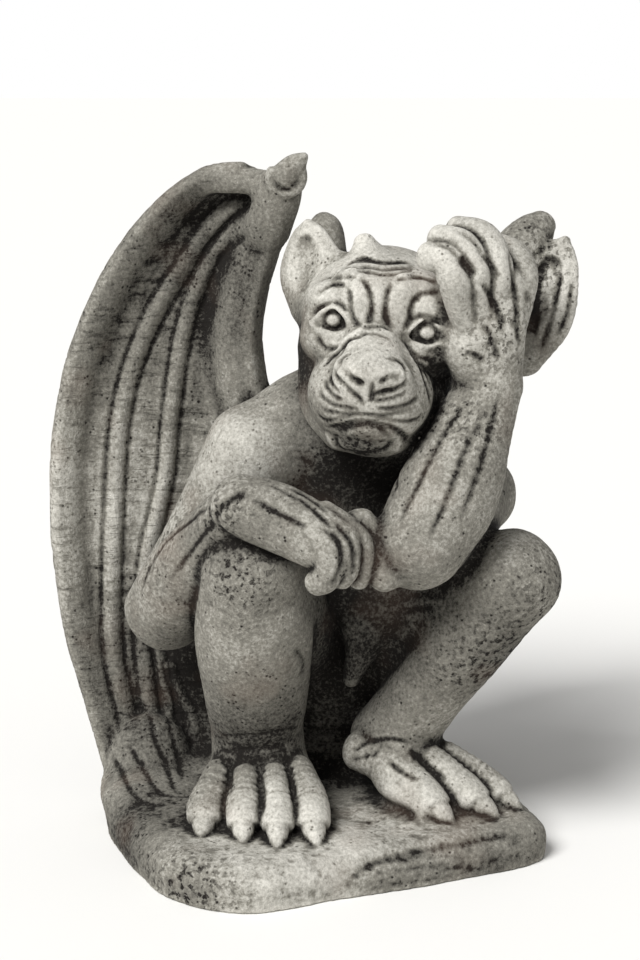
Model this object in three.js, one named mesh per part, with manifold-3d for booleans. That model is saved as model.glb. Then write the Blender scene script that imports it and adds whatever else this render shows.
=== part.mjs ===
// A crouching gargoyle, cast in stone as one piece with the slab it squats on.
// Millimetres, +Z up. The origin is on the flat underside of the slab, +X is the figure's
// left-hand side as it is seen from the front, and the face looks along -Y.

import * as THREE from 'three';
import { mergeVertices } from 'three/addons/utils/BufferGeometryUtils.js';
import Module from 'manifold-3d';

const wasm = await Module();
wasm.setup();

// ---------- driving dimensions ----------

const SLAB_TOP = 27;            // height of the slab under the feet
const SLAB_EDGE = 9;            // how far the slab's top edge is rounded in
const LIMB_SIDES = 8;
const FINGER_SIDES = 6;
const FINGER_RADIUS = 9.2;
const LEFT_WING_FOLD = 0.84;    // reach of the left wing, which is held closer, against the right one
const LEFT_WING_DROP = 0.835;   // height of the left wing, over the lower shoulder, against the right one
const WING_THICKNESS = 13;
const WING_CUP = 12;            // how deep the wing is hollowed between its edges
const HEAD_ROLL = 7;            // degrees that the head leans into the left hand
const BODY_TURN = THREE.MathUtils.degToRad(35);   // how far the hips face away from -Y

// ---------- the figure's joints ----------

const seat = [8, 62, 36];
const pelvis = [6, 56, 84];
const belly = [8, 50, 128];
const chest = [16, 42, 188];
const collar = [25, 32, 232];
const neck = [36, 14, 268];

const shoulderRight = [-37, 14, 238];
const elbowRight = [-95, 8, 140];
const wristRight = [-46, -60, 223];
const knucklesRight = [10, -82, 204];

const shoulderLeft = [92, 40, 208];
const elbowLeft = [56, -62, 200];
const wristLeft = [98, -38, 290];
const palmLeft = [92, -38, 332];

const hipRight = [-24, 52, 98];
const kneeRight = [-40, -52, 184];
const ankleRight = [-38, -12, 66];

const hipLeft = [34, 58, 96];
const kneeLeft = [116, -29, 174];
const ankleLeft = [44, 4, 62];

const skull = [38, 0, 319];
const muzzle = [29, -46, 287];
const chin = [28, -42, 262];

// ---------- solids ----------

function vector([x, y, z]) {
  return new THREE.Vector3(x, y, z);
}

// Point part way from one joint to another, with an optional shift.
function between(from, to, share, shift = [0, 0, 0]) {
  return from.map((value, axis) => value + (to[axis] - value) * share + shift[axis]);
}

// A closed body through rings of points; each end closes on a point of its own.
function skin(rings, firstPole, lastPole) {
  const sides = rings[0].length;
  const positions = [...rings.flat(), firstPole, lastPole].flatMap((point) => point.toArray());
  const first = rings.length * sides;
  const last = first + 1;
  const index = [];
  for (let side = 0; side < sides; side += 1) {
    const next = (side + 1) % sides;
    index.push(first, next, side);
    for (let ring = 0; ring + 1 < rings.length; ring += 1) {
      const low = ring * sides;
      const high = low + sides;
      index.push(low + side, low + next, high + next);
      index.push(low + side, high + next, high + side);
    }
    const top = (rings.length - 1) * sides;
    index.push(last, top + side, top + next);
  }
  const geometry = new THREE.BufferGeometry();
  geometry.setAttribute('position', new THREE.Float32BufferAttribute(positions, 3));
  geometry.setIndex(index);
  return geometry;
}

// A limb along a smooth line, with a domed tip and a pointed root that is buried in its
// neighbour. Each station is a joint with its two radii: across, which lies along the given
// side, and through, which is square to it.
function limb(stations, { sides = LIMB_SIDES, steps = 2, side = [1, 0, 0], dome = 0.8 } = {}) {
  const line = new THREE.CatmullRomCurve3(stations.map(([joint]) => vector(joint)));
  const sizes = new THREE.CatmullRomCurve3(stations.map(([, across, through = across]) => (
    new THREE.Vector3(across, through, 0))));
  const spans = (stations.length - 1) * steps;
  const sideways = vector(side);

  function ring(at, shrink, slide) {
    const forward = line.getTangent(at);
    const across = sideways.clone().addScaledVector(forward, -sideways.dot(forward)).normalize();
    const through = forward.clone().cross(across);
    const size = sizes.getPoint(at);
    const centre = line.getPoint(at).addScaledVector(forward, slide * (size.x + size.y) / 2);
    return Array.from({ length: sides }, (_, step) => {
      const angle = (step / sides) * 2 * Math.PI;
      return centre.clone()
        .addScaledVector(across, size.x * shrink * Math.cos(angle))
        .addScaledVector(through, size.y * shrink * Math.sin(angle));
    });
  }

  function pole(at, slide) {
    const size = sizes.getPoint(at);
    return line.getPoint(at).addScaledVector(line.getTangent(at), slide * (size.x + size.y) / 2);
  }

  const rings = Array.from({ length: spans + 1 }, (_, step) => ring(step / spans, 1, 0));
  rings.push(ring(1, 0.72, 0.6 * dome));
  return skin(rings, pole(0, -0.7 * dome), pole(1, dome));
}

// A closed ball with three radii, turned by three angles in degrees.
function ball(centre, radii, turn = [0, 0, 0], sides = 10) {
  const geometry = new THREE.SphereGeometry(1, sides, Math.round(sides * 0.7));
  geometry.scale(...radii);
  geometry.applyMatrix4(new THREE.Matrix4().makeRotationFromEuler(
    new THREE.Euler(...turn.map(THREE.MathUtils.degToRad))));
  geometry.translate(...centre);
  return geometry;
}

function solid(geometry) {
  geometry.deleteAttribute('normal');
  geometry.deleteAttribute('uv');
  const merged = mergeVertices(geometry, 1e-3);
  return new wasm.Manifold(new wasm.Mesh({
    numProp: 3,
    vertProperties: new Float32Array(merged.attributes.position.array),
    triVerts: new Uint32Array(merged.index.array),
  }));
}

function union(geometries) {
  return geometries.map(solid).reduce((whole, piece) => whole.add(piece));
}

// ---------- the slab ----------

function slab() {
  const outline = new THREE.CatmullRomCurve3([
    [-132, 8], [-116, -48], [-89, -103], [-42, -128], [12, -107], [58, -88], [96, -70],
    [130, -51], [136, -26], [110, 24], [84, 56], [76, 116], [64, 160], [40, 170],
    [8, 142], [-52, 112], [-112, 64],
  ].map(([x, y]) => new THREE.Vector3(x, y, 0)), true);
  const sides = 24;
  const middle = new THREE.Vector3(-5, 10, 0);
  const levels = [[0, 0.985], [SLAB_TOP / 4, 1.01], [SLAB_TOP - SLAB_EDGE, 0.99], [SLAB_TOP, 0.9]];
  const rings = levels.map(([height, spread]) => Array.from({ length: sides }, (_, side) => {
    const rim = outline.getPoint(side / sides);
    const point = middle.clone().lerp(rim, spread);
    return point.setZ(height);
  }));
  return skin(rings, middle.clone().setZ(0), middle.clone().setZ(SLAB_TOP));
}

// The mounds of rough stone that carry the feet of the wings.
function mounds() {
  return [
    ball([-101, 18, 25], [33, 46, 24], [0, 0, 15]),
    ball([-30, 48, 22], [66, 46, 20]),
    ball([44, 122, 20], [30, 46, 18], [0, 0, -12]),
  ];
}

// ---------- body and legs ----------

function torso() {
  return [
    limb([
      [seat, 44, 38], [pelvis, 50, 45], [belly, 46, 42], [chest, 54, 44], [collar, 56, 36], [neck, 30, 30],
    ], { sides: 11, side: [Math.cos(BODY_TURN), Math.sin(BODY_TURN), 0] }),
    limb([[shoulderRight, 30], [between(shoulderRight, neck, 0.5, [0, 6, 8]), 30, 26], [neck, 30]]),
    limb([[between(chest, collar, 0.5), 30], [[-30, 50, 246], 24, 20]], { steps: 1 }),
    limb([[between(belly, chest, 0.8), 30], [[24, 84, 214], 24, 20]], { steps: 1 }),
    limb([[[28, 8, 150], 30, 18], [[28, -2, 118], 18, 14], [[17, -6, 102], 8, 9]]),
  ];
}

function leg(hip, knee, ankle, calf, side) {
  return [
    limb([[hip, 42, 40], [between(hip, knee, 0.5), 39, 36], [knee, 29, 28]], { side }),
    limb([
      [knee, 27, 27], [between(knee, ankle, 0.33), calf, calf * 0.9],
      [between(knee, ankle, 0.7), calf * 0.9, calf * 0.8], [ankle, 26, 24],
    ], { side, steps: 1 }),
  ];
}

// A foot: the instep below the ankle, and toes that each end in a claw. A toe is given by its
// root, its knuckle and the tip of its claw.
function foot(ankle, instep, side, toes) {
  const arch = between(ankle, instep, 0.5);
  const pieces = [limb([[ankle, 25, 23], [arch, 28, 20], [instep, 33, 15]], { side })];
  for (const { root, knuckle, claw, width } of toes) {
    const nail = between(knuckle, claw, 0.4);
    const bend = between(root, knuckle, 0.5, [0, 0, 3]);
    const toe = { sides: FINGER_SIDES, steps: 1, side };
    pieces.push(limb([
      [root, width, 13], [bend, width * 0.9, 12], [knuckle, width * 1.1, 11], [nail, width, 10],
    ], toe));
    pieces.push(limb([
      [nail, width * 0.8, 8], [between(knuckle, claw, 0.9), width * 0.45, 4],
    ], { ...toe, dome: 1 }));
  }
  return pieces;
}

const rightToes = [
  { root: [-54, -22, 48], knuckle: [-66, -52, 38], claw: [-70, -74, 27], width: 11 },
  { root: [-42, -26, 50], knuckle: [-44, -60, 40], claw: [-45, -84, 26], width: 9.5 },
  { root: [-30, -26, 50], knuckle: [-25, -60, 40], claw: [-25, -90, 26], width: 9.5 },
  { root: [-18, -22, 50], knuckle: [-8, -56, 40], claw: [-2, -86, 26], width: 10 },
];
const leftToes = [
  { root: [30, -6, 52], knuckle: [62, -28, 38], claw: [76, -52, 26], width: 11 },
  { root: [50, 0, 50], knuckle: [84, -20, 38], claw: [104, -40, 26], width: 10 },
  { root: [62, 8, 44], knuckle: [100, -10, 36], claw: [119, -28, 26], width: 9.5 },
  { root: [62, 16, 40], knuckle: [90, 6, 32], claw: [108, -10, 27], width: 8 },
];

// ---------- arms ----------

// The right arm lies over the right knee, with its hand hanging down in front of it: two curled
// fingers, and the flat of the other two behind them.
function rightArm() {
  const biceps = between(shoulderRight, elbowRight, 0.5);
  const muscle = between(elbowRight, wristRight, 0.35);
  const backOfHand = between(wristRight, knucklesRight, 0.4, [0, 0, 2]);
  const pieces = [
    limb([[shoulderRight, 33, 31], [biceps, 27, 25], [elbowRight, 25, 25]]),
    limb([[elbowRight, 24, 24], [muscle, 28, 26], [wristRight, 21, 20]]),
    limb([[wristRight, 20, 19], [backOfHand, 21, 16], [knucklesRight, 20, 14]], { side: [0.2, 0.5, 0.9] }),
    limb([
      [[16, -66, 206], 22, 11], [[30, -60, 190], 20, 9], [[36, -62, 180], 12, 5],
    ], { side: [1, 0, -0.4] }),
  ];
  const fingers = [[-4, -94], [10, -86]];
  for (const [x, y] of fingers) {
    pieces.push(limb([
      [[x, y + 6, 214], 9], [[x + 11, y, 206], 9], [[x + 9, y, 190], 8.5], [[x, y + 3, 184], 8],
    ], { sides: FINGER_SIDES, steps: 1 }));
  }
  return pieces;
}

// The left arm stands on the left thigh and holds up the head: the palm is on the temple and
// four fingers, each given by its four joints, bend over the brow.
function leftArm() {
  const biceps = between(shoulderLeft, elbowLeft, 0.5);
  const muscle = between(elbowLeft, wristLeft, 0.32, [4, 0, 0]);
  const taper = between(elbowLeft, wristLeft, 0.7, [2, 0, 0]);
  const pieces = [
    limb([[shoulderLeft, 29, 28], [biceps, 29, 27], [elbowLeft, 26, 26]]),
    limb([[elbowLeft, 26, 25], [muscle, 30, 26], [taper, 24, 20], [wristLeft, 19, 17]]),
    limb([[wristLeft, 19, 16], [palmLeft, 26, 14], [[96, -38, 350], 26, 11]], { steps: 1 }),
  ];
  const fingers = [
    [[79, -54, 342], [76, -59, 355], [71, -58, 366], [61, -55, 368]],
    [[89, -50, 344], [88, -53, 360], [80, -51, 373], [66, -46, 376]],
    [[101, -44, 344], [101, -46, 362], [94, -40, 375], [78, -34, 379]],
    [[113, -36, 334], [116, -34, 352], [113, -28, 362], [104, -22, 368]],
  ];
  for (const joints of fingers) {
    pieces.push(limb(joints.map((joint) => [joint, FINGER_RADIUS]), { sides: FINGER_SIDES, steps: 1 }));
  }
  return pieces;
}

// ---------- head ----------

function head() {
  const small = { sides: 8, steps: 1 };
  const leftEarRoot = [[[70, 2, 318], 26], [[96, 8, 322], 24], [[116, 12, 322], 18, 12]];
  const nose = [[[29, -44, 326], 13, 10], [[28, -64, 312], 15, 12], [[28, -75, 301], 19, 10]];
  const brows = [
    [[[-8, -32, 332], 6], [[2, -42, 342], 8], [[16, -46, 342], 8], [[22, -48, 328], 7]],
    [[[38, -48, 326], 7], [[44, -48, 340], 9], [[56, -44, 342], 9], [[72, -32, 334], 7]],
  ];
  const lowerLids = [
    [[[-5, -39, 324], 4], [[6, -48, 317], 5], [[18, -50, 320], 4]],
    [[[50, -50, 313], 4], [[61, -47, 310], 5], [[72, -37, 315], 4]],
  ];
  const eyes = [[8, -42, 328], [60, -41, 321]];
  return [
    ball(skull, [49, 46, 47], [0, HEAD_ROLL, 0], 14),
    ball(muzzle, [39, 36, 33], [0, HEAD_ROLL, 0], 12),
    ball(chin, [27, 24, 12], [0, HEAD_ROLL, 0]),
    limb(leftEarRoot, { side: [0, 0, 1] }),
    ...[nose, ...brows, ...lowerLids].map((stations) => limb(stations, small)),
    ...eyes.map((eye) => ball(eye, [9, 8, 8], [0, 0, 0], 7)),
  ];
}

// An ear: a tall leaf, thick at its root, with a hollow scooped out of its front.
function ear(root, tip, width, facing) {
  const body = solid(limb([
    [root, width * 0.36, 12], [between(root, tip, 0.4), width * 0.5, 10],
    [between(root, tip, 0.8), width * 0.3, 6], [tip, 3, 3],
  ], { sides: 8, side: facing }));
  const forward = vector(tip).sub(vector(root)).normalize().cross(vector(facing)).normalize();
  const toFront = forward.y < 0 ? 1 : -1;
  const scoopCentre = vector(between(root, tip, 0.45)).addScaledVector(forward, toFront * 12);
  const scoop = solid(ball(scoopCentre.toArray(), [width * 0.3, 10, 24], [0, 0, 0]));
  return body.subtract(scoop);
}

function horns() {
  return [
    limb([[[30, -10, 352], 10], [[27, -10, 364], 6], [[25, -9, 371], 2.5]]),
    limb([[[4, 26, 352], 13], [[3, 32, 370], 11], [[2, 35, 376], 7]]),
    limb([[[108, 16, 350], 15], [[124, 28, 366], 14], [[133, 36, 374], 9]]),
  ];
}

// ---------- wings ----------

// The right wing hangs from its wrist beside the neck, and its membrane narrows to a foot on the
// slab. Out, ahead and up are the wing's own axes; place() turns a point of it into the figure's.
const leadingEdge = [
  [34, 14], [2, 70], [-18, 150], [-26, 225], [-10, 262], [-4, 300], [-8, 332], [-18, 366],
  [-22, 386], [-14, 400],
];
const trailingEdge = [
  [96, 16], [111, 71], [122, 111], [128, 155], [130, 200], [127, 244], [117, 290],
  [100, 332], [79, 366], [54, 393], [30, 408], [8, 411],
];

// The wing's front from its leading edge to its trailing edge: share of the way across, and how
// far it stands out there. The arm comes first, then two ribs, then the outer finger.
const wingProfile = [
  [0, 0], [0.06, 8], [0.15, 10], [0.23, 6], [0.27, 0], [0.42, 0], [0.44, 5], [0.48, 4], [0.5, 0],
  [0.65, 0], [0.67, 5], [0.71, 4], [0.73, 0], [0.87, 0], [0.92, 7], [1, 0],
];

function middle(ring) {
  const sum = new THREE.Vector3();
  ring.forEach((point) => sum.add(point));
  return sum.divideScalar(ring.length);
}

function wing(place) {
  const rows = 9;
  const curve = (edge) => new THREE.CatmullRomCurve3(edge.map((point) => vector([...point, 0])));
  const leading = curve(leadingEdge);
  const trailing = curve(trailingEdge);
  const half = WING_THICKNESS / 2;
  const rings = [];
  for (let row = 0; row <= rows; row += 1) {
    const inner = leading.getPointAt(row / rows);
    const outer = trailing.getPointAt(row / rows);
    const at = (across, ahead) => {
      const spot = inner.clone().lerp(outer, across);
      return place(spot.x, ahead - WING_CUP * Math.sin(Math.PI * across), spot.y);
    };
    const fade = Math.min(1, inner.distanceTo(outer) / 60);
    const front = wingProfile.map(([across, relief]) => {
      const onEdge = across === 0 || across === 1;
      return at(across, onEdge ? 0 : half + relief * fade);
    });
    const back = [0.75, 0.25].map((across) => at(across, -half));
    rings.push([...front, ...back]);
  }
  return skin(rings, middle(rings[0]), middle(rings[rows]));
}

function placeRight(out, ahead, up) {
  const lean = 0.00028 * (up - 200) ** 2;
  return new THREE.Vector3(-39 - out, 56 - ahead - lean, up);
}

function placeLeft(out, ahead, up) {
  const right = placeRight(out * LEFT_WING_FOLD, ahead, up);
  const spine = new THREE.Vector3(-1, 71, 0);
  const normal = new THREE.Vector3(Math.cos(BODY_TURN), Math.sin(BODY_TURN), 0);
  const fromSpine = right.clone().sub(spine).setZ(0);
  const mirrored = right.addScaledVector(normal, -2 * fromSpine.dot(normal));
  return mirrored.setZ(up * LEFT_WING_DROP);
}

// Turns a body inside out, which a mirrored body needs.
function turned(geometry) {
  const corners = Array.from(geometry.index.array);
  for (let corner = 0; corner < corners.length; corner += 3) {
    [corners[corner], corners[corner + 1]] = [corners[corner + 1], corners[corner]];
  }
  geometry.setIndex(corners);
  return geometry;
}

// The claw on a wing's wrist, in the ring of skin that it grows from.
function wingClaw(place) {
  const at = (out, ahead, up) => place(out, ahead, up).toArray();
  return [
    limb([[at(-10, 6, 372), 17, 12], [at(-17, 10, 392), 16, 13], [at(-21, 16, 401), 12, 11]], { sides: 9 }),
    limb([[at(-19, 16, 400), 9], [at(-25, 20, 411), 6.5], [at(-31, 22, 417), 2.5]], { sides: 8, steps: 1 }),
  ];
}

// ---------- the casting ----------

const pieces = [
  slab(), ...mounds(), ...torso(),
  ...leg(hipRight, kneeRight, ankleRight, 35, [1, 0, 0]),
  ...leg(hipLeft, kneeLeft, ankleLeft, 29, [0.7, 0.7, 0]),
  ...foot(ankleRight, [-36, -32, 38], [1, 0, 0], rightToes),
  ...foot(ankleLeft, [62, -8, 38], [0.45, 0.9, 0], leftToes),
  ...rightArm(), ...leftArm(), ...head(), ...horns(),
  turned(wing(placeRight)), wing(placeLeft), ...wingClaw(placeRight), ...wingClaw(placeLeft),
];
let casting = union(pieces);
casting = casting.add(ear([-6, 4, 332], [-2, 14, 378], 44, [0.8, -0.5, 0]));
casting = casting.add(ear([116, 8, 300], [146, 18, 367], 50, [0.85, -0.4, -0.3]));

const mesh = casting.getMesh();
const geometry = new THREE.BufferGeometry();
geometry.setAttribute('position', new THREE.BufferAttribute(mesh.vertProperties, 3));
geometry.setIndex(new THREE.BufferAttribute(mesh.triVerts, 1));
geometry.computeVertexNormals();

const castStone = new THREE.MeshStandardMaterial({ color: 0x8d8a82, roughness: 0.92, metalness: 0 });
const gargoyle = new THREE.Mesh(geometry, castStone);
gargoyle.name = 'gargoyle';

const group = new THREE.Group();
group.add(gargoyle);

export default group;
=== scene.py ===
"""A crouching gargoyle cast in stone, with the slab that it squats on.

The figure is built up like clay in a block of small cells, each of which knows how far it is
from the surface. Lumps are joined with soft seams, folds are pressed in, and the block is then
skinned. Millimetres are used while the clay is worked and metres once it is a mesh.
"""

import math

import bmesh
import bpy
import numpy as np
import openvdb
from bpy.props import FloatProperty, FloatVectorProperty, IntProperty, PointerProperty, StringProperty
from bpy.types import Operator, Panel, PropertyGroup
from mathutils import Euler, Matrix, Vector


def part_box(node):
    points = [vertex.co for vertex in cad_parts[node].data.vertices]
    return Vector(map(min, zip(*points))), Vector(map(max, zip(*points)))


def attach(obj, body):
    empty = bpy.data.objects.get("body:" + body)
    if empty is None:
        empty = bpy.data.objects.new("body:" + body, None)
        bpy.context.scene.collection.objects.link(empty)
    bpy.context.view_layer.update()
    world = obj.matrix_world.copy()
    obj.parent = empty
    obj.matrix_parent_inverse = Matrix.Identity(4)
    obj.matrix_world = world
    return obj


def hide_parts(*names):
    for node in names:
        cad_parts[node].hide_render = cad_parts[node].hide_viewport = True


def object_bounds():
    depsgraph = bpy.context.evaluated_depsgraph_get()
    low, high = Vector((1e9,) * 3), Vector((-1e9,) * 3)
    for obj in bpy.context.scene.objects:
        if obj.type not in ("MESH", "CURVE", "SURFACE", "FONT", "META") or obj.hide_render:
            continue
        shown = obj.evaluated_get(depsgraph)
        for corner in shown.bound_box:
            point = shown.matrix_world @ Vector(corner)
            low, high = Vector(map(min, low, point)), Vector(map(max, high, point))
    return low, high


bl_info = {
    "name": "Cast stone gargoyle",
    "version": (1, 0, 0),
    "blender": (4, 5, 0),
    "location": "View3D > Sidebar > Gargoyle",
    "description": "Sculpts a crouching gargoyle in cast stone and sets its studio",
    "category": "Object",
}

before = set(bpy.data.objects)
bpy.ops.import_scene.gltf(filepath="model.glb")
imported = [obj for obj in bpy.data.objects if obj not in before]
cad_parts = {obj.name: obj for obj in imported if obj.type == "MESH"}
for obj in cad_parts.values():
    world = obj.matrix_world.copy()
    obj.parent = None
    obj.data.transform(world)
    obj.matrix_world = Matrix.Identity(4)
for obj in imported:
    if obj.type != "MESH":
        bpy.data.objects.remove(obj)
CAD_BOX = [list(corner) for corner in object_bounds()]

DESIGN_HEIGHT = 419.1           # mm from the underside of the slab to the top of the wing's claw
FRAME_LOW, FRAME_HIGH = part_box("gargoyle")
MILLIMETRE = (FRAME_HIGH[2] - FRAME_LOW[2]) / DESIGN_HEIGHT
CLAY_LOW = (-174, -134, -5)     # corners of the block of clay, mm
CLAY_HIGH = (158, 209, 424)
FAR = 40.0                      # depth that an untouched cell holds, mm outside
SEAM = 12.0                     # widest soft seam between two lumps, mm
SLAB_TOP = 27
SLAB_EDGE = 9
BODY_TURN = math.radians(35)    # how far the hips face away from the front
HEAD_ROLL = 7                   # degrees that the head leans into the left hand
LEFT_WING_FOLD = 0.84
LEFT_WING_DROP = 0.835
WING_CUP = 12                   # how deep the wing is hollowed between its edges, mm
WING_THICKNESS = 13
LENS = 93.75                    # focal length in mm, on a sensor this tall
SENSOR_HEIGHT = 36.0
KEY_SOFTNESS = 28               # degrees that the main light spans
KEY_DIRECTION = (0.62, 0.85, -1.1)
FLOOR_REACH = 6.0               # metres from the middle of the floor to its edge
FLOOR_DROP = 0.0002             # metres that the floor lies under the slab


# ---------- sizes and colours that a user may change ----------

class GargoyleCarving(PropertyGroup):
    """How finely the clay is worked."""
    cell: FloatProperty(
        name="Clay cell", description="Size of the cells that the clay is worked in, in mm",
        default=1.2, min=0.6, max=4.0)
    faces: IntProperty(
        name="Triangles", description="Triangles that the finished casting is reduced to",
        default=192000, min=20000, max=199000)
    roughness: FloatProperty(
        name="Casting roughness", description="Height of the uneven cast skin, in mm",
        default=0.5, min=0.0, max=2.0)


class GargoyleStone(PropertyGroup):
    """Colours of the cast stone, as hex sRGB, and of its patina, whose dark colour also serves for painted
    shade.
    """
    pale: StringProperty(name="Rubbed stone", description="Colour of raised, rubbed stone", default="#D9D6CD")
    mid: StringProperty(name="Stone", description="Colour of the stone between", default="#858279")
    # The dark end of the tone: patina, and painted shade in hollows and under overhangs.
    dark: StringProperty(name="Patina", description="Colour of the patina in hollows", default="#1B1815")
    rust: StringProperty(name="Stain", description="Colour of the faint brown stains", default="#7A6252")
    relief: FloatProperty(
        name="Grain height", description="Height of the finest grain", default=0.0006,
        min=0.0, max=0.01, unit="LENGTH")


class GargoyleStudio(PropertyGroup):
    """The floor, the lights and the camera."""
    floor: StringProperty(name="Floor", description="Colour of the floor", default="#F6F5F2")
    key: FloatProperty(name="Key light", description="Strength of the main light", default=3.4, min=0.0)
    ambient: FloatProperty(name="Ambient light", description="Strength of the light from all round",
        default=0.35, min=0.0)
    elevation: FloatProperty(
        name="Camera elevation", description="How high the camera looks down from",
        default=math.radians(13), subtype="ANGLE", unit="ROTATION")
    distance: FloatProperty(
        name="Camera distance", description="From the camera to the middle of the figure",
        default=1.5, min=0.3, subtype="DISTANCE", unit="LENGTH")
    target: FloatVectorProperty(
        name="Camera target", description="What the camera looks at", size=3,
        default=(0.0, 0.0, 0.225), subtype="TRANSLATION", unit="LENGTH")


# ---------- clay ----------

def soft_join(first, second, seam):
    """The nearer of two surfaces, with a soft seam of that width between them."""
    if seam <= 0:
        return np.minimum(first, second)
    overlap = np.maximum(seam - np.abs(first - second), 0) / seam
    return np.minimum(first, second) - overlap * overlap * seam * 0.25


def soft_cut(first, second, seam):
    """What is inside both surfaces, with a soft edge."""
    return -soft_join(-first, -second, seam)


def between(start, end, share, shift=(0, 0, 0)):
    """Point part way from one joint to another, with an optional shift."""
    return tuple(a + (b - a) * share + s for a, b, s in zip(start, end, shift))


def smooth_line(points, steps=6, closed=False):
    """A smooth line through points of any number of values."""
    points = np.array(points, float)
    if len(points) == 2 and not closed:
        return points[0] + (points[1] - points[0]) * np.linspace(0, 1, steps + 1)[:, None]
    if closed:
        padded = np.vstack([points[-1:], points, points[:2]])
    else:
        padded = np.vstack([2 * points[:1] - points[1:2], points, 2 * points[-1:] - points[-2:-1]])
    spans = len(padded) - 3
    share = np.linspace(0, 1, steps, endpoint=False)[:, None]
    rows = []
    for span in range(spans):
        a, b, c, d = padded[span:span + 4]
        rows.append(b + 0.5 * share * (c - a + share * (2 * a - 5 * b + 4 * c - d
                                                       + share * (3 * (b - c) + d - a))))
    if not closed:
        rows.append(padded[-2][None, :])
    return np.vstack(rows)


class Clay:
    """A block of cells, each holding its distance from the surface in mm, below 0 inside."""

    def __init__(self, low, high, cell):
        self.low = np.array(low, float)
        self.cell = cell
        counts = np.ceil((np.array(high) - self.low) / cell).astype(int) + 1
        self.lines = [(self.low[a] + cell * np.arange(counts[a])).astype(np.float32) for a in range(3)]
        self.depth = np.full(counts, FAR, np.float32)

    def window(self, low, high):
        """Slices of the cells between two corners, and the three coordinates there."""
        cuts = []
        for axis in range(3):
            count = self.depth.shape[axis]
            first = min(max(int((low[axis] - self.low[axis]) / self.cell), 0), count - 1)
            last = min(max(int((high[axis] - self.low[axis]) / self.cell) + 2, first + 1), count)
            cuts.append(slice(first, last))
        x, y, z = (self.lines[axis][cuts[axis]] for axis in range(3))
        return tuple(cuts), x[:, None, None], y[None, :, None], z[None, None, :]

    def sample(self, points, values, cell):
        """Values kept at every such cell, read at points in mm and blended between the cells around each."""
        spots = (points - self.low) / cell
        floor = np.clip(np.floor(spots).astype(int), 0, np.array(values.shape) - 2)
        share = np.clip(spots - floor, 0, 1)
        total = np.zeros(len(points))
        for corner in range(8):
            bits = [(corner >> axis) & 1 for axis in range(3)]
            weight = np.ones(len(points))
            for axis in range(3):
                weight = weight * (share[:, axis] if bits[axis] else 1 - share[:, axis])
            total += weight * values[floor[:, 0] + bits[0], floor[:, 1] + bits[1], floor[:, 2] + bits[2]]
        return total

    def front(self, spots):
        """The points where lines from the front at (x, z) meet the clay."""
        found = []
        for x, z in spots:
            column = int(round((x - self.low[0]) / self.cell))
            level = int(round((z - self.low[2]) / self.cell))
            depths = self.depth[column, :, level]
            inside = np.flatnonzero(depths < 0)
            if len(inside) == 0:
                continue
            first = max(inside[0], 1)
            before, after = depths[first - 1], depths[first]
            share = before / (before - after) if before > 0 else 0
            found.append((x, self.low[1] + (first - 1 + share) * self.cell, z))
        return found


def lump(clay, centre, radii, turn=(0, 0, 0), seam=SEAM, hollow=False):
    """Joins an egg with three radii to the clay, or scoops one out of it."""
    reach = max(radii) + SEAM + 2
    cuts, x, y, z = clay.window([c - reach for c in centre], [c + reach for c in centre])
    rows = np.array(Euler([math.radians(angle) for angle in turn]).to_matrix().transposed())
    offset = (x - centre[0], y - centre[1], z - centre[2])
    first = 0.0
    second = 0.0
    for row, radius in zip(rows, radii):
        along = sum(float(part) * value for part, value in zip(row, offset)) / radius
        first = first + along * along
        second = second + along * along / radius ** 2
    reached = np.sqrt(first)
    depth = reached * (reached - 1) / np.maximum(np.sqrt(second), 1e-6)
    if hollow:
        clay.depth[cuts] = soft_cut(clay.depth[cuts], -depth, seam)
    else:
        clay.depth[cuts] = soft_join(clay.depth[cuts], depth, seam)


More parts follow.
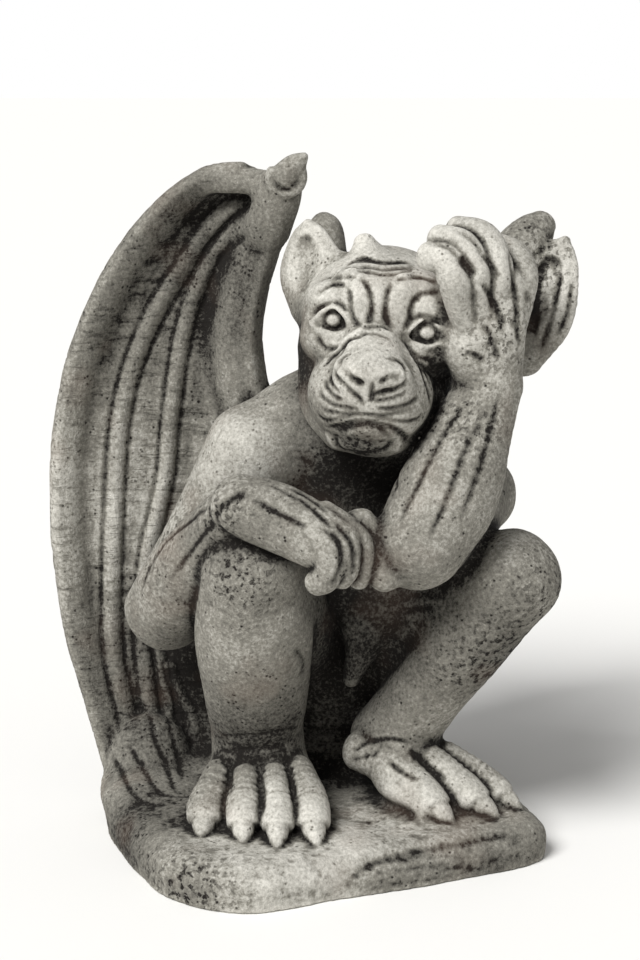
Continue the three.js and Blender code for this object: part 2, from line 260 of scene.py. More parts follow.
def limb(clay, stations, side=(1, 0, 0), seam=6.0, steps=6, dome=0.8, rings=None, hollow=False):
    """Joins a limb along a smooth line. Each station is a joint and its radii across and through.

    rings is (spacing, height, start, end) for a limb that is ringed with wrinkles.
    """
    rows = [(*point, sizes[0], sizes[-1]) for point, *sizes in stations]
    line = smooth_line(rows, steps)
    reach = line[:, 3:].max() + SEAM + 2
    cuts, *_ = clay.window(line[:, :3].min(0) - reach, line[:, :3].max(0) + reach)
    own = np.full([cut.stop - cut.start for cut in cuts], FAR, np.float32)
    sideways = np.array(side, float)
    travelled = 0.0
    for start, end in zip(line[:-1], line[1:]):
        step = end[:3] - start[:3]
        length = float(np.linalg.norm(step))
        if length < 1e-6:
            continue
        forward = step / length
        across = sideways - forward * sideways.dot(forward)
        across /= np.linalg.norm(across)
        through = np.cross(forward, across)
        near = max(start[3:].max(), end[3:].max()) + SEAM + 2
        local, x, y, z = clay.window(np.minimum(start[:3], end[:3]) - near,
            np.maximum(start[:3], end[:3]) + near)
        offset = (x - start[0], y - start[1], z - start[2])
        along = sum(float(part) * value for part, value in zip(forward, offset))
        share = np.clip(along / length, 0, 1)
        radius = [start[3 + n] + (end[3 + n] - start[3 + n]) * share for n in range(2)]
        if rings:
            spacing, height, first, last = rings
            walked = travelled + share * length
            fade = np.clip((walked - first) / spacing, 0, 1) * np.clip((last - walked) / spacing, 0, 1)
            swell = height * fade * np.cos(2 * math.pi * walked / spacing)
            radius = [value + swell for value in radius]
        cap = (radius[0] + radius[1]) * 0.5 * dome
        parts = (
            (sum(float(part) * value for part, value in zip(across, offset)), radius[0]),
            (sum(float(part) * value for part, value in zip(through, offset)), radius[1]),
            (along - share * length, cap),
        )
        first_power = 0.0
        second_power = 0.0
        for value, size in parts:
            ratio = (value / size) ** 2
            first_power = first_power + ratio
            second_power = second_power + ratio / size ** 2
        reached = np.sqrt(first_power)
        depth = reached * (reached - 1) / np.maximum(np.sqrt(second_power), 1e-6)
        inner = tuple(slice(l.start - c.start, l.stop - c.start) for l, c in zip(local, cuts))
        own[inner] = np.minimum(own[inner], depth)
        travelled += length
    if hollow:
        clay.depth[cuts] = soft_cut(clay.depth[cuts], -own, seam)
    else:
        clay.depth[cuts] = soft_join(clay.depth[cuts], own, seam)


def press(clay, points, width, depth, steps=5, fade=True):
    """Presses a groove along a line on the clay, or with a depth below 0 raises a ridge."""
    if len(points) < 2:
        return
    line = smooth_line(points, steps)
    reach = width * 2.6
    cuts, *_ = clay.window(line.min(0) - reach, line.max(0) + reach)
    shape = [cut.stop - cut.start for cut in cuts]
    nearest = np.full(shape, reach * reach, np.float32)
    strength = np.zeros(shape, np.float32)
    count = len(line) - 1
    for number, (start, end) in enumerate(zip(line[:-1], line[1:])):
        step = end - start
        length = float(step.dot(step))
        if length < 1e-9:
            continue
        local, x, y, z = clay.window(np.minimum(start, end) - reach, np.maximum(start, end) + reach)
        offset = (x - start[0], y - start[1], z - start[2])
        share = np.clip(sum(float(part) * value for part, value in zip(step, offset)) / length, 0, 1)
        gap = sum((value - float(part) * share) ** 2 for part, value in zip(step, offset))
        place = (number + share) / count
        level = np.clip(np.minimum(place, 1 - place) * 5, 0, 1) if fade else np.ones_like(gap)
        inner = tuple(slice(l.start - c.start, l.stop - c.start) for l, c in zip(local, cuts))
        closer = gap < nearest[inner]
        nearest[inner] = np.where(closer, gap, nearest[inner])
        strength[inner] = np.where(closer, level, strength[inner])
    clay.depth[cuts] += depth * strength * np.exp(-nearest / width ** 2)


def strokes(clay, width, depth, lines):
    """Presses lines given from the front, each as points (x, z), onto the clay behind them."""
    for line in lines:
        spots = smooth_line(line, 4)
        points = clay.front(spots)
        if len(points) > 2:
            path = np.array(points)
            path[1:-1, 1] = (path[:-2, 1] + path[1:-1, 1] + path[2:, 1]) / 3
            press(clay, path, width, depth, steps=1)


# ---------- unevenness ----------

def lattice(seed, points, size):
    """Soft seeded bumps between -1 and 1 with that spacing, at points in mm."""
    spots = points / size
    cell = np.floor(spots).astype(np.int64)
    share = spots - cell
    share = share * share * (3 - 2 * share)
    total = np.zeros(len(points))
    for corner in range(8):
        bits = np.array([(corner >> axis) & 1 for axis in range(3)])
        key = (cell + bits) * np.array([73856093, 19349663, 83492791]) + seed * 2654435761
        mixed = key[:, 0] ^ key[:, 1] ^ key[:, 2]
        mixed = (mixed ^ (mixed >> 13)) * 1274126177
        mixed = (mixed ^ (mixed >> 16)) & 0xFFFFFF
        weight = np.prod(np.where(bits, share, 1 - share), axis=1)
        total += weight * (mixed / 0x7FFFFF - 1)
    return total


def nearness(points, centre, radius):
    """1 at a centre, falling softly to 0 beyond the radius."""
    return np.exp(-((points - np.array(centre)) ** 2).sum(1) / radius ** 2)


# ---------- the figure's joints, mm ----------

seat, pelvis, belly = (8, 62, 36), (6, 56, 84), (8, 50, 128)
chest, collar, neck = (16, 42, 188), (25, 32, 232), (36, 14, 268)
shoulder_right, elbow_right = (-37, 14, 238), (-95, 8, 140)
wrist_right, knuckles_right = (-46, -60, 223), (10, -82, 204)
shoulder_left, elbow_left = (92, 40, 208), (56, -62, 200)
wrist_left, palm_left = (98, -38, 290), (92, -38, 332)
hip_right, knee_right, ankle_right = (-24, 52, 98), (-40, -52, 184), (-38, -12, 66)
hip_left, knee_left, ankle_left = (34, 58, 96), (116, -29, 174), (44, 4, 62)


# ---------- slab ----------

SLAB_OUTLINE = [
    (-132, 8), (-116, -48), (-89, -103), (-42, -128), (12, -107), (58, -88), (96, -70), (130, -51),
    (136, -26), (110, 24), (84, 56), (76, 116), (64, 160), (40, 170), (8, 142), (-52, 112), (-112, 64),
]


def outline_gap(outline, first, second):
    """Distance of points of a plane from a closed outline, below 0 inside it."""
    gap = np.full(first.shape, 1e6)
    inside = np.zeros(first.shape, bool)
    for start, end in zip(outline, np.roll(outline, -1, axis=0)):
        step = end - start
        share = np.clip(((first - start[0]) * step[0] + (second - start[1]) * step[1]) / step.dot(step), 0, 1)
        gap = np.minimum(gap, np.hypot(first - start[0] - share * step[0],
            second - start[1] - share * step[1]))
        if start[1] != end[1]:
            crosses = (start[1] > second) != (end[1] > second)
            reach = start[0] + (second - start[1]) / (end[1] - start[1]) * step[0]
            inside ^= crosses & (first < reach)
    return np.where(inside, -gap, gap)


def mould_slab(clay):
    """The rough slab, with the mounds that carry the feet of the wings."""
    cuts, x, y, z = clay.window(CLAY_LOW, (CLAY_HIGH[0], CLAY_HIGH[1], 64))
    outline = smooth_line(SLAB_OUTLINE, 6, closed=True)
    gap = outline_gap(outline, *np.broadcast_arrays(x[:, :, 0], y[:, :, 0]))[:, :, None].astype(np.float32)
    bulge = 1.5 * np.cos((z - SLAB_TOP * 0.4) / SLAB_TOP * 2.2)
    side = gap + 1.5 - bulge
    top = z - SLAB_TOP - 0.6 + 3.2 * np.exp(gap / 12)
    depth = soft_cut(side, top, SLAB_EDGE * 1.6)
    clay.depth[cuts] = soft_join(clay.depth[cuts], depth, 0)
    for centre, radii, turn in (
        ((-103, 24, 20), (34, 40, 15), 15), ((-108, 46, 30), (28, 24, 32), 20),
        ((-30, 48, 22), (66, 46, 20), 0), ((44, 122, 20), (30, 46, 18), -12),
    ):
        lump(clay, centre, radii, (0, 0, turn), seam=10)


# ---------- wings ----------

LEADING_EDGE = [
    (34, 14), (2, 70), (-18, 150), (-26, 225), (-10, 262), (-4, 300), (-8, 332), (-18, 366), (-22, 386),
    (-14, 400),
]
TRAILING_EDGE = [
    (96, 16), (111, 71), (122, 111), (128, 155), (130, 200), (127, 244), (117, 290), (100, 332), (79, 366),
    (54, 393), (30, 408), (8, 411),
]


class WingPlan:
    """The wing's front laid flat: out from the body, and up, in mm."""

    def __init__(self, step=1.0):
        self.step = step
        self.low = np.array([-45.0, -6.0])
        self.out = self.low[0] + step * np.arange(int(190 / step))
        self.up = self.low[1] + step * np.arange(int(430 / step))
        out, up = np.meshgrid(self.out, self.up, indexing="ij")
        leading = self.even(smooth_line(LEADING_EDGE, 12), 420)
        trailing = self.even(smooth_line(TRAILING_EDGE, 12), 420)
        outline = np.vstack([leading[::6], trailing[::-6]])
        self.gap = outline_gap(outline, out, up)
        share = np.linspace(0, 1, 240)[None, :, None]
        ruled = leading[:, None, :] * (1 - share) + trailing[:, None, :] * share
        self.across = self.spread(ruled, np.broadcast_to(share[..., 0], ruled.shape[:2]))
        height = np.linspace(0, 1, 420)[:, None]
        self.along = self.spread(ruled, np.broadcast_to(height, ruled.shape[:2]))
        self.front, self.back = self.relief(out, up)

    @staticmethod
    def even(line, count):
        """The same line with evenly spaced points."""
        length = np.concatenate([[0], np.cumsum(np.linalg.norm(np.diff(line, axis=0), axis=1))])
        places = np.linspace(0, length[-1], count)
        return np.stack([np.interp(places, length, line[:, n]) for n in range(2)], 1)

    def spread(self, spots, values):
        """Spreads values known at scattered spots over the whole plan."""
        shape = (len(self.out), len(self.up))
        total = np.zeros(shape)
        weight = np.zeros(shape)
        cell = np.round((spots - self.low) / self.step).astype(int).reshape(-1, 2)
        np.add.at(total, (cell[:, 0], cell[:, 1]), values.reshape(-1))
        np.add.at(weight, (cell[:, 0], cell[:, 1]), 1)
        for _ in range(14):
            empty = weight == 0
            near_total = sum(np.roll(total, shift, axis) for axis in (0, 1) for shift in (1, -1))
            near_weight = sum(np.roll(weight, shift, axis) for axis in (0, 1) for shift in (1, -1))
            filled = empty & (near_weight > 0)
            total[filled] = near_total[filled] / near_weight[filled]
            weight[filled] = 1
        return total / np.maximum(weight, 1e-6)

    def crest(self, out, up, line):
        """Distance of the plan from a smooth line on it."""
        path = smooth_line(line, 6)
        gap = np.full(out.shape, 1e6)
        for start, end in zip(path[:-1], path[1:]):
            step = end - start
            share = np.clip(((out - start[0]) * step[0] + (up - start[1]) * step[1]) / step.dot(step), 0, 1)
            gap = np.minimum(gap, np.hypot(out - start[0] - share * step[0], up - start[1] - share * step[1]))
        return gap

    def relief(self, out, up):
        """How far the front and the back stand from the wing's middle."""
        edge = np.clip(-self.gap / 8.0, 0, 1)
        rounded = np.sqrt(np.maximum(1 - (1 - edge) ** 2, 0))
        front = np.full(out.shape, WING_THICKNESS / 2)
        arm = self.crest(out, up, WING_ARM)
        front += 11 * np.exp(-(arm / 15) ** 4)
        band = np.clip(-self.gap, 0, 60)
        outer = np.where(self.across > 0.5, np.exp(-((band - 9) / 10) ** 4), 0)
        front += 4.5 * outer * np.clip((up - 40) / 60, 0, 1)
        for line, width, height in WING_RIBS:
            gap = self.crest(out, up, line)
            front += height * np.exp(-(gap / width) ** 2)
            front -= 1.5 * np.exp(-((gap - width * 1.25) / (width * 0.26)) ** 2)
        for line, width, depth in WING_HOLLOWS:
            front -= depth * np.exp(-(self.crest(out, up, line) / width) ** 2)
        skin_share = np.clip((self.across - 0.3) * 8, 0, 1) * np.clip((0.86 - self.across) * 14, 0, 1)
        front += skin_share * self.wrinkles(out, up)
        back = np.full(out.shape, WING_THICKNESS / 2)
        for line, width, _ in WING_RIBS[:2]:
            back += 2.5 * np.exp(-(self.crest(out, up, line) / (width * 1.6)) ** 2)
        back += 4 * np.exp(-(arm / 15) ** 4)
        return front * rounded, back * rounded

    def wrinkles(self, out, up):
        """Fine wrinkles that run across the skin between the ribs, and strings that run along it."""
        count = out.size
        across, along = self.across.reshape(-1), self.along.reshape(-1)
        bent = along * 430 + 9 * np.abs(np.sin(across * 9.5)) + 3 * lattice(11,
            np.stack([out.reshape(-1), up.reshape(-1), np.zeros(count)], 1), 24)
        fine = lattice(12, np.stack([across * 30, bent, np.zeros(count)], 1), 5.0)
        strings = lattice(13, np.stack([across * 130, along * 50, np.zeros(count)], 1), 5.5)
        return (0.55 * fine + 0.5 * strings).reshape(out.shape)

    def read(self, values, out, up):
        """Values of a map of the plan at places on it."""
        first = np.clip((out - self.low[0]) / self.step, 0, len(self.out) - 1.001)
        second = np.clip((up - self.low[1]) / self.step, 0, len(self.up) - 1.001)
        a, b = first.astype(int), second.astype(int)
        s, t = first - a, second - b
        return ((values[a, b] * (1 - s) + values[a + 1, b] * s) * (1 - t)
                + (values[a, b + 1] * (1 - s) + values[a + 1, b + 1] * s) * t)


# Places on the wing, out and up: the thick arm that it hangs from, the ribs that fan out from
# the arm's wrist, each with a width and a height, and the hollows of the skin between them.
WING_ARM = [(-16, 396), (-12, 381), (-3, 362), (7, 334), (11, 314), (11, 289), (6, 264), (-4, 235)]
WING_RIBS = [
    ([(3, 389), (14, 384), (25, 374), (36, 358), (46, 343), (60, 321), (74, 291), (82, 264), (87, 233),
        (90, 190),
      (92, 149), (92, 104), (86, 71), (78, 46), (62, 19)], 5.2, 2.8),
    ([(4, 378), (15, 366), (26, 354), (36, 332), (45, 305), (52, 264), (55, 240), (57, 217), (63, 188),
        (69, 164),
      (72, 136), (73, 104), (70, 72), (66, 50)], 4.8, 2.8),
    ([(68, 111), (62, 96), (57, 59), (55, 29)], 3.6, 2.4),
    ([(56, 91), (51, 75), (44, 62), (41, 50)], 3.6, 2.4),
]
WING_HOLLOWS = [
    ([(2, 392), (12, 391), (24, 386), (38, 376)], 6.5, 6.5),
    ([(24, 384), (44, 366), (62, 340), (83, 308), (96, 264), (102, 220), (104, 162), (102, 111), (97, 72)],
        8, 1.2),
    ([(20, 369), (40, 342), (58, 305), (67, 264), (71, 220), (79, 175), (82, 136), (82, 98), (77, 62)], 6,
        1.0),
    ([(11, 362), (25, 336), (33, 308), (36, 277), (40, 245), (47, 214), (56, 170), (62, 130)], 8, 2.6),
]
# The wrist and the claw above it: out, ahead and up, with the radii across and through.
WING_CLAW = [
    ([((-7, 6, 370), 13, 12), ((-13, 10, 388), 14, 13), ((-17, 14, 401), 12, 10)], 8),
    ([((-12, 6, 396), 9, 9), ((6, 3, 400), 8, 8), ((28, 0, 399), 6, 7)], 6),
    ([((-18, 19, 404), 9, 8), ((-24, 21, 411), 7, 6.5), ((-30, 22, 416.5), 2.6)], 0.8),
]


def mould_wings(clay):
    """Both wings. The left one is a smaller mirror of the right across the turned spine."""
    plan = WingPlan()
    spine = np.array([-1.0, 71.0])
    normal = np.array([math.cos(BODY_TURN), math.sin(BODY_TURN)])
    for left in (False, True):
        low, high = ((-20, 60, 8), (130, 209, 356)) if left else ((-174, -10, 8), (8, 96, 424))
        cuts, x, y, z = clay.window(low, high)
        if left:
            gap = (x - spine[0]) * normal[0] + (y - spine[1]) * normal[1]
            right_x, right_y = x - 2 * gap * normal[0], y - 2 * gap * normal[1]
            out, up = (-39 - right_x) / LEFT_WING_FOLD, z / LEFT_WING_DROP
        else:
            right_y = y
            out, up = -39 - x, z
        ahead = 56 - right_y - 0.00028 * (up - 200) ** 2
        wide_out, wide_up = np.broadcast_arrays(out, up)
        across = plan.read(plan.across, wide_out, wide_up)
        middle = -WING_CUP * np.sin(math.pi * np.clip(across, 0, 1))
        front = ahead - middle - plan.read(plan.front, wide_out, wide_up)
        back = middle - ahead - plan.read(plan.back, wide_out, wide_up)
        rim = plan.read(plan.gap, wide_out, wide_up)
        depth = np.maximum(soft_cut(front * 0.85, back * 0.85, 3), rim).astype(np.float32)
        clay.depth[cuts] = soft_join(clay.depth[cuts], depth, 7)
        for stations, seam in WING_CLAW:
            limb(clay, [(wing_place(*spot, left), *sizes) for spot, *sizes in stations], seam=seam)
        ring = [wing_place(-19 + 9.6 * math.cos(a), 22, 404 + 9.6 * math.sin(a), left)
                for a in np.linspace(math.radians(165), math.radians(385), 14)]
        limb(clay, [(spot, 3.1) for spot in ring], seam=2, steps=2)


def wing_place(out, ahead, up, left):
    """Turns a place in a wing's own axes into the figure's."""
    lean = 0.00028 * (up - 200) ** 2
    if not left:
        return (-39 - out, 56 - ahead - lean, up)
    spot = np.array([-39 - out * LEFT_WING_FOLD, 56 - ahead - lean])
    normal = np.array([math.cos(BODY_TURN), math.sin(BODY_TURN)])
    spot = spot - 2 * (spot - np.array([-1.0, 71.0])).dot(normal) * normal
    return (float(spot[0]), float(spot[1]), up * LEFT_WING_DROP)


# ---------- body ----------

def mould_body(clay):
    """The torso, the haunches and the upper arms."""
    turned = (math.cos(BODY_TURN), math.sin(BODY_TURN), 0)
    limb(clay, [
        (seat, 44, 38), (pelvis, 50, 45), (belly, 46, 42), (chest, 54, 44), (collar, 56, 36), (neck, 30, 30),
    ], side=turned, seam=8)
    limb(clay, [(shoulder_right, 30), (between(shoulder_right, neck, 0.5, (0, 6, 8)), 30, 26), (neck, 30)],
        seam=10)
    limb(clay, [(between(chest, collar, 0.5), 30), ((-30, 50, 246), 24, 20)], seam=10)
    limb(clay, [(between(belly, chest, 0.8), 30), ((24, 84, 214), 24, 20)], seam=10)
    limb(clay, [((32, 8, 152), 30, 18), ((26, -2, 124), 12, 12), ((19, -6, 102), 5, 7)], seam=5)


LEG_FOLDS = [
    ("thigh creases", 1.8, 0.9, [
        [(40.5, 148), (56, 157), (75.5, 162.5)],
        [(36.5, 140.5), (52.5, 148), (67.5, 153.5)],
        [(28.5, 117), (41, 132.5), (54.5, 142.5)],
    ]),
    ("ankle creases", 1.3, 0.9, [
        [(12.5, 53.5), (29, 66.5), (44.5, 70), (56.5, 67)],
        [(-61.5, 76), (-43, 79), (-23.5, 81), (-10, 80.5)],
        [(-64.5, 63.5), (-43.5, 68.5), (-23.5, 69), (-8, 48)],
        [(11, 48), (24.5, 57.5), (36.5, 62)],
    ]),
    ("tendons of the left foot", 1.8, 1.6, [
        [(41, 58.5), (48.5, 53.5), (60.5, 48.5)],
        [(53, 64.5), (65.5, 53), (77, 46)],
    ]),
    ("right shin", 2.4, 0.6, [
        [(-15.5, 138.5), (-9.5, 127.5), (-11.5, 114)],
        [(-4, 78.5), (-7.5, 71.5), (-6, 60.5)],
    ]),
    ("between the right toes", 1.6, 1.6, [
        [(-55, 61.5), (-53.5, 54), (-53, 47)],
        [(-35.5, 54), (-33.5, 47.5), (-34, 39)],
        [(-18.5, 58.5), (-16.5, 50.5), (-14.5, 40.5)],
    ]),
    ("ledge of the slab", 3.4, 1.3, [
        [(14, 8), (28, 17), (46, 21), (76, 21), (106, 21.5), (130, 21)],
    ]),
    ("foot of the right wing", 1.5, 1.4, [
        [(-121, 50), (-112, 38), (-100, 31), (-90, 29)],
        [(-109, 70), (-104, 52), (-95, 36), (-88, 30)],
        [(-99, 78), (-95, 58), (-90, 42), (-85, 31)],
        [(-132, 40), (-120, 31), (-106, 28), (-92, 27)],
    ]),
    ("streaks of the slab", 1.6, 0.5, [
        [(12.5, 9), (30.5, 17.5), (53, 18), (76, 16), (97, 8)],
        [(21.5, 3), (49, 4.5), (76.5, 3), (103, 4.5)],
        [(26, 13), (48.5, 13), (71.5, 11), (95, 4.5), (113.5, 1.5)],
    ]),
]


def mould_leg(clay, hip, knee, ankle, calf, side):
    """A folded leg: the thigh up to the knee, then the calf down to the ankle."""
    limb(clay, [(hip, 42, 40), (between(hip, knee, 0.5), 39, 36), (knee, 29, 28)], side=side, seam=4)
    limb(clay, [
        (knee, 27, 27), (between(knee, ankle, 0.33), calf, calf * 0.9),
        (between(knee, ankle, 0.7), calf * 0.9, calf * 0.8), (ankle, 26, 24),
    ], side=side, seam=5)


def mould_foot(clay, ankle, instep, pad, side, toes):
    """A foot: the instep below the ankle, and ringed toes that end in hooded claws."""
    limb(clay, [(ankle, 25, 23), (between(ankle, instep, 0.5), 29, 22), (instep, 34, 17), pad], side=side,
        seam=8)
    for root, knuckle, claw, width in toes:
        bend = between(root, knuckle, 0.5, (0, 0, 3))
        limb(clay, [
            (root, width, 13), (bend, width * 0.98, 12), (knuckle, width * 1.14, 11.5),
            (between(knuckle, claw, 0.38), width * 1.08, 10),
        ], side=side, seam=2, rings=(4.4, 0.5, 8, 46))
        limb(clay, [
            (between(knuckle, claw, 0.3), width * 0.82, 8.5), (between(knuckle, claw, 0.66), width * 0.66, 7),
            (between(knuckle, claw, 0.96), width * 0.34, 3.5),
            (between(knuckle, claw, 1.08, (0, 0, -1)), width * 0.14, 1.6),
        ], side=side, seam=0.4, dome=1)
        hood(clay, between(knuckle, claw, 0.5), claw, side, width)


def hood(clay, centre, claw, side, width):
    """The rim of skin round the root of a claw."""
    ahead = (Vector(claw) - Vector(centre)).normalized()
    across = (Vector(side) - ahead * Vector(side).dot(ahead)).normalized()
    above = across.cross(ahead)
    if above.z < 0:
        above = -above
    line = [Vector(centre) + across * width * 0.92 * math.cos(a) + above * (9.4 * math.sin(a) - 1) + ahead * 3.4 * math.sin(a)
            for a in np.linspace(0, math.pi, 9)]
    press(clay, [tuple(spot + ahead * 1.6) for spot in line], 1.2, 1.1, steps=3)
    press(clay, [tuple(spot - ahead * 1.2) for spot in line], 1.5, -0.9, steps=3)


RIGHT_TOES = [
    ((-56, -18, 50), (-67, -50, 37), (-70, -74, 27), 10.4),
    ((-43, -22, 52), (-45, -58, 39), (-45, -84, 26), 9.6),
    ((-30, -22, 52), (-25, -60, 39), (-25, -91, 26), 9.6), ((-17, -18, 51), (-6, -56, 39), (-2, -87, 26), 10),
]
LEFT_TOES = [
    ((24, -10, 58), (60, -32, 40), (78, -51, 26), 11.5), ((46, -6, 58), (84, -22, 39), (106, -40, 26), 10.5),
    ((60, 2, 52), (100, -10, 36), (121, -27, 26), 9.5), ((62, 16, 42), (90, 6, 33), (108, -10, 27), 8),
]


HAND_FOLDS = [
    ("bend of the right wrist", 3, 2.2, [[(-39, 235), (-50, 232), (-59, 223), (-58, 213), (-48, 206)]]),
    ("between the left fingers", 1.8, 1.7, [
        [(61.5, 375.5), (70, 374.5), (76.5, 370), (81, 363), (86.5, 359.5)],
        [(74, 383.5), (81.5, 380.5), (88, 375.5), (93, 367.5), (100, 358.5), (102.5, 352)],
        [(90.5, 355.5), (96, 346), (102, 333.5), (104.5, 323)],
        [(107.5, 372), (108.5, 363), (111, 349), (112.5, 335), (115, 322)],
    ]),
    ("pit between the first fingers", 3, 2.4, [
        [(78, 368), (81.5, 365), (85, 361), (88, 357.5)],
    ]),
    ("tendons of the left hand", 1.8, 1.2, [
        [(109.5, 333), (112.5, 325), (115.5, 314)],
        [(117, 347.5), (125.5, 325), (126, 314)],
        [(93.5, 329), (99, 318.5), (102, 308)],
        [(82, 312), (87.5, 312), (94, 307)],
    ]),
    ("sinews of the left forearm", 2.2, 0.9, [
        [(86, 287.5), (69, 263), (54.5, 236), (43, 213.5)],
        [(97.5, 285), (83, 258.5), (71.5, 231.5), (60, 206.5)],
        [(78, 291.5), (61, 268.5), (49.5, 246.5), (39.5, 225)],
        [(103.5, 293), (97.5, 268.5), (88.5, 242), (77, 214.5)],
    ]),
    ("between the right fingers", 2, 2.2, [
        [(6, 223.5), (12.5, 216.5), (18, 209), (19.5, 197.5), (17.5, 187)],
        [(-2.5, 220.5), (7, 214.5), (11.5, 208), (12, 199.5), (8.5, 189), (1.5, 184.5)],
    ]),
    ("sinews of the right arm", 1.8, 1.1, [
        [(-31, 239), (-19.5, 235.5), (-8.5, 230), (1.5, 222.5), (8.5, 217.5)],
        [(-20, 237), (-8.5, 232.5), (3, 226), (11.5, 220.5)],
        [(-39.5, 233.5), (-28, 227), (-16.5, 222), (-5.5, 218)],
        [(-62.5, 225), (-73.5, 213.5), (-87.5, 198.5), (-100.5, 179.5), (-109, 152)],
        [(-57, 219), (-66, 208), (-78.5, 189.5), (-88, 174.5)],
    ]),
]


def mould_right_arm(clay):
    """The right arm lies over the right knee, and its hand hangs down in front of it."""
    biceps = between(shoulder_right, elbow_right, 0.5)
    muscle = between(elbow_right, wrist_right, 0.35)
    back_of_hand = between(wrist_right, knuckles_right, 0.4, (0, 0, 3))
    limb(clay, [(shoulder_right, 33, 31), (biceps, 27, 25), (elbow_right, 25, 25)], seam=8)
    limb(clay, [(elbow_right, 24, 24), (muscle, 27, 25),
        (between(elbow_right, wrist_right, 0.92, (0, 4, 0)), 18, 18)],
         seam=2.5)
    limb(clay, [((-48, -62, 225), 18, 18), (back_of_hand, 20, 17), (knuckles_right, 17, 14)],
         side=(0.2, 0.5, 0.9), seam=2)
    limb(clay, [((20, -68, 214), 12, 9), ((30, -70, 198), 13, 9), ((37, -72, 184), 9, 8),
        ((39, -72, 180), 5, 5)],
         side=(1, 0, -0.4), seam=2)
    for joints, sizes in RIGHT_FINGERS:
        limb(clay, [(joint, size) for joint, size in zip(joints, sizes)], seam=1.2)


# The joints of each finger, from the back of the hand to its tip, and its thickness at each.
RIGHT_FINGERS = [
    ([(2, -70, 222), (15, -75, 214), (23, -77, 204), (24, -76, 190), (22, -75, 183)], (7, 7.6, 8, 7.2, 6)),
    ([(-12, -72, 224), (4, -81, 217), (14, -85, 207), (15, -84, 193), (12, -83, 186)], (7, 8, 8.2, 7.6, 6.5)),
    ([(-24, -72, 226), (-8, -81, 218), (4, -88, 208), (6, -89, 197), (3, -87, 188), (-2, -85, 184)],
     (7, 8, 9.2, 9, 8.6, 7.4)),
]


def mould_left_arm(clay):
    """The left arm stands on the left thigh, and its hand holds the temple."""
    biceps = between(shoulder_left, elbow_left, 0.5)
    muscle = between(elbow_left, wrist_left, 0.32, (4, 0, 0))
    taper = between(elbow_left, wrist_left, 0.7, (2, 0, 0))
    limb(clay, [(shoulder_left, 29, 28), (biceps, 29, 27), (elbow_left, 26, 26)], seam=8)
    limb(clay, [(elbow_left, 26, 25), (muscle, 30, 26), (taper, 24, 20), (wrist_left, 19, 17)], seam=3)
    limb(clay, [(wrist_left, 19, 16), (palm_left, 26, 14), ((96, -38, 350), 26, 11)], seam=4)
    lump(clay, (85, -47, 317), (11, 9, 18), (0, 12, 0), seam=9)
    limb(clay, [((96, -38, 300), 18, 13), ((97, -42, 328), 21, 12), ((98, -41, 350), 20, 11)], seam=6)
    for joints, sizes in LEFT_FINGERS:
        limb(clay, [(joint, size) for joint, size in zip(joints, sizes)], seam=1.4)


LEFT_FINGERS = [
    ([(85, -46, 324), (79, -54, 342), (76, -59, 355), (71, -59, 366), (61, -56, 368)], (8, 9, 9.6, 9.2, 8.2)),
    ([(93, -46, 326), (89, -51, 344), (87, -54, 361), (80, -52, 373), (67, -49, 377)], (8, 8.6, 9.4, 9.2, 8)),
    ([(102, -42, 326), (101, -45, 344), (100, -47, 362), (93, -42, 376), (78, -37, 380)],
        (8, 8.8, 9.8, 9.6, 8.4)),
    ([(112, -36, 322), (114, -37, 338), (116, -35, 353), (112, -29, 364), (102, -24, 369)],
        (7, 8.6, 9.4, 9.2, 8.2)),
]


# ---------- head ----------

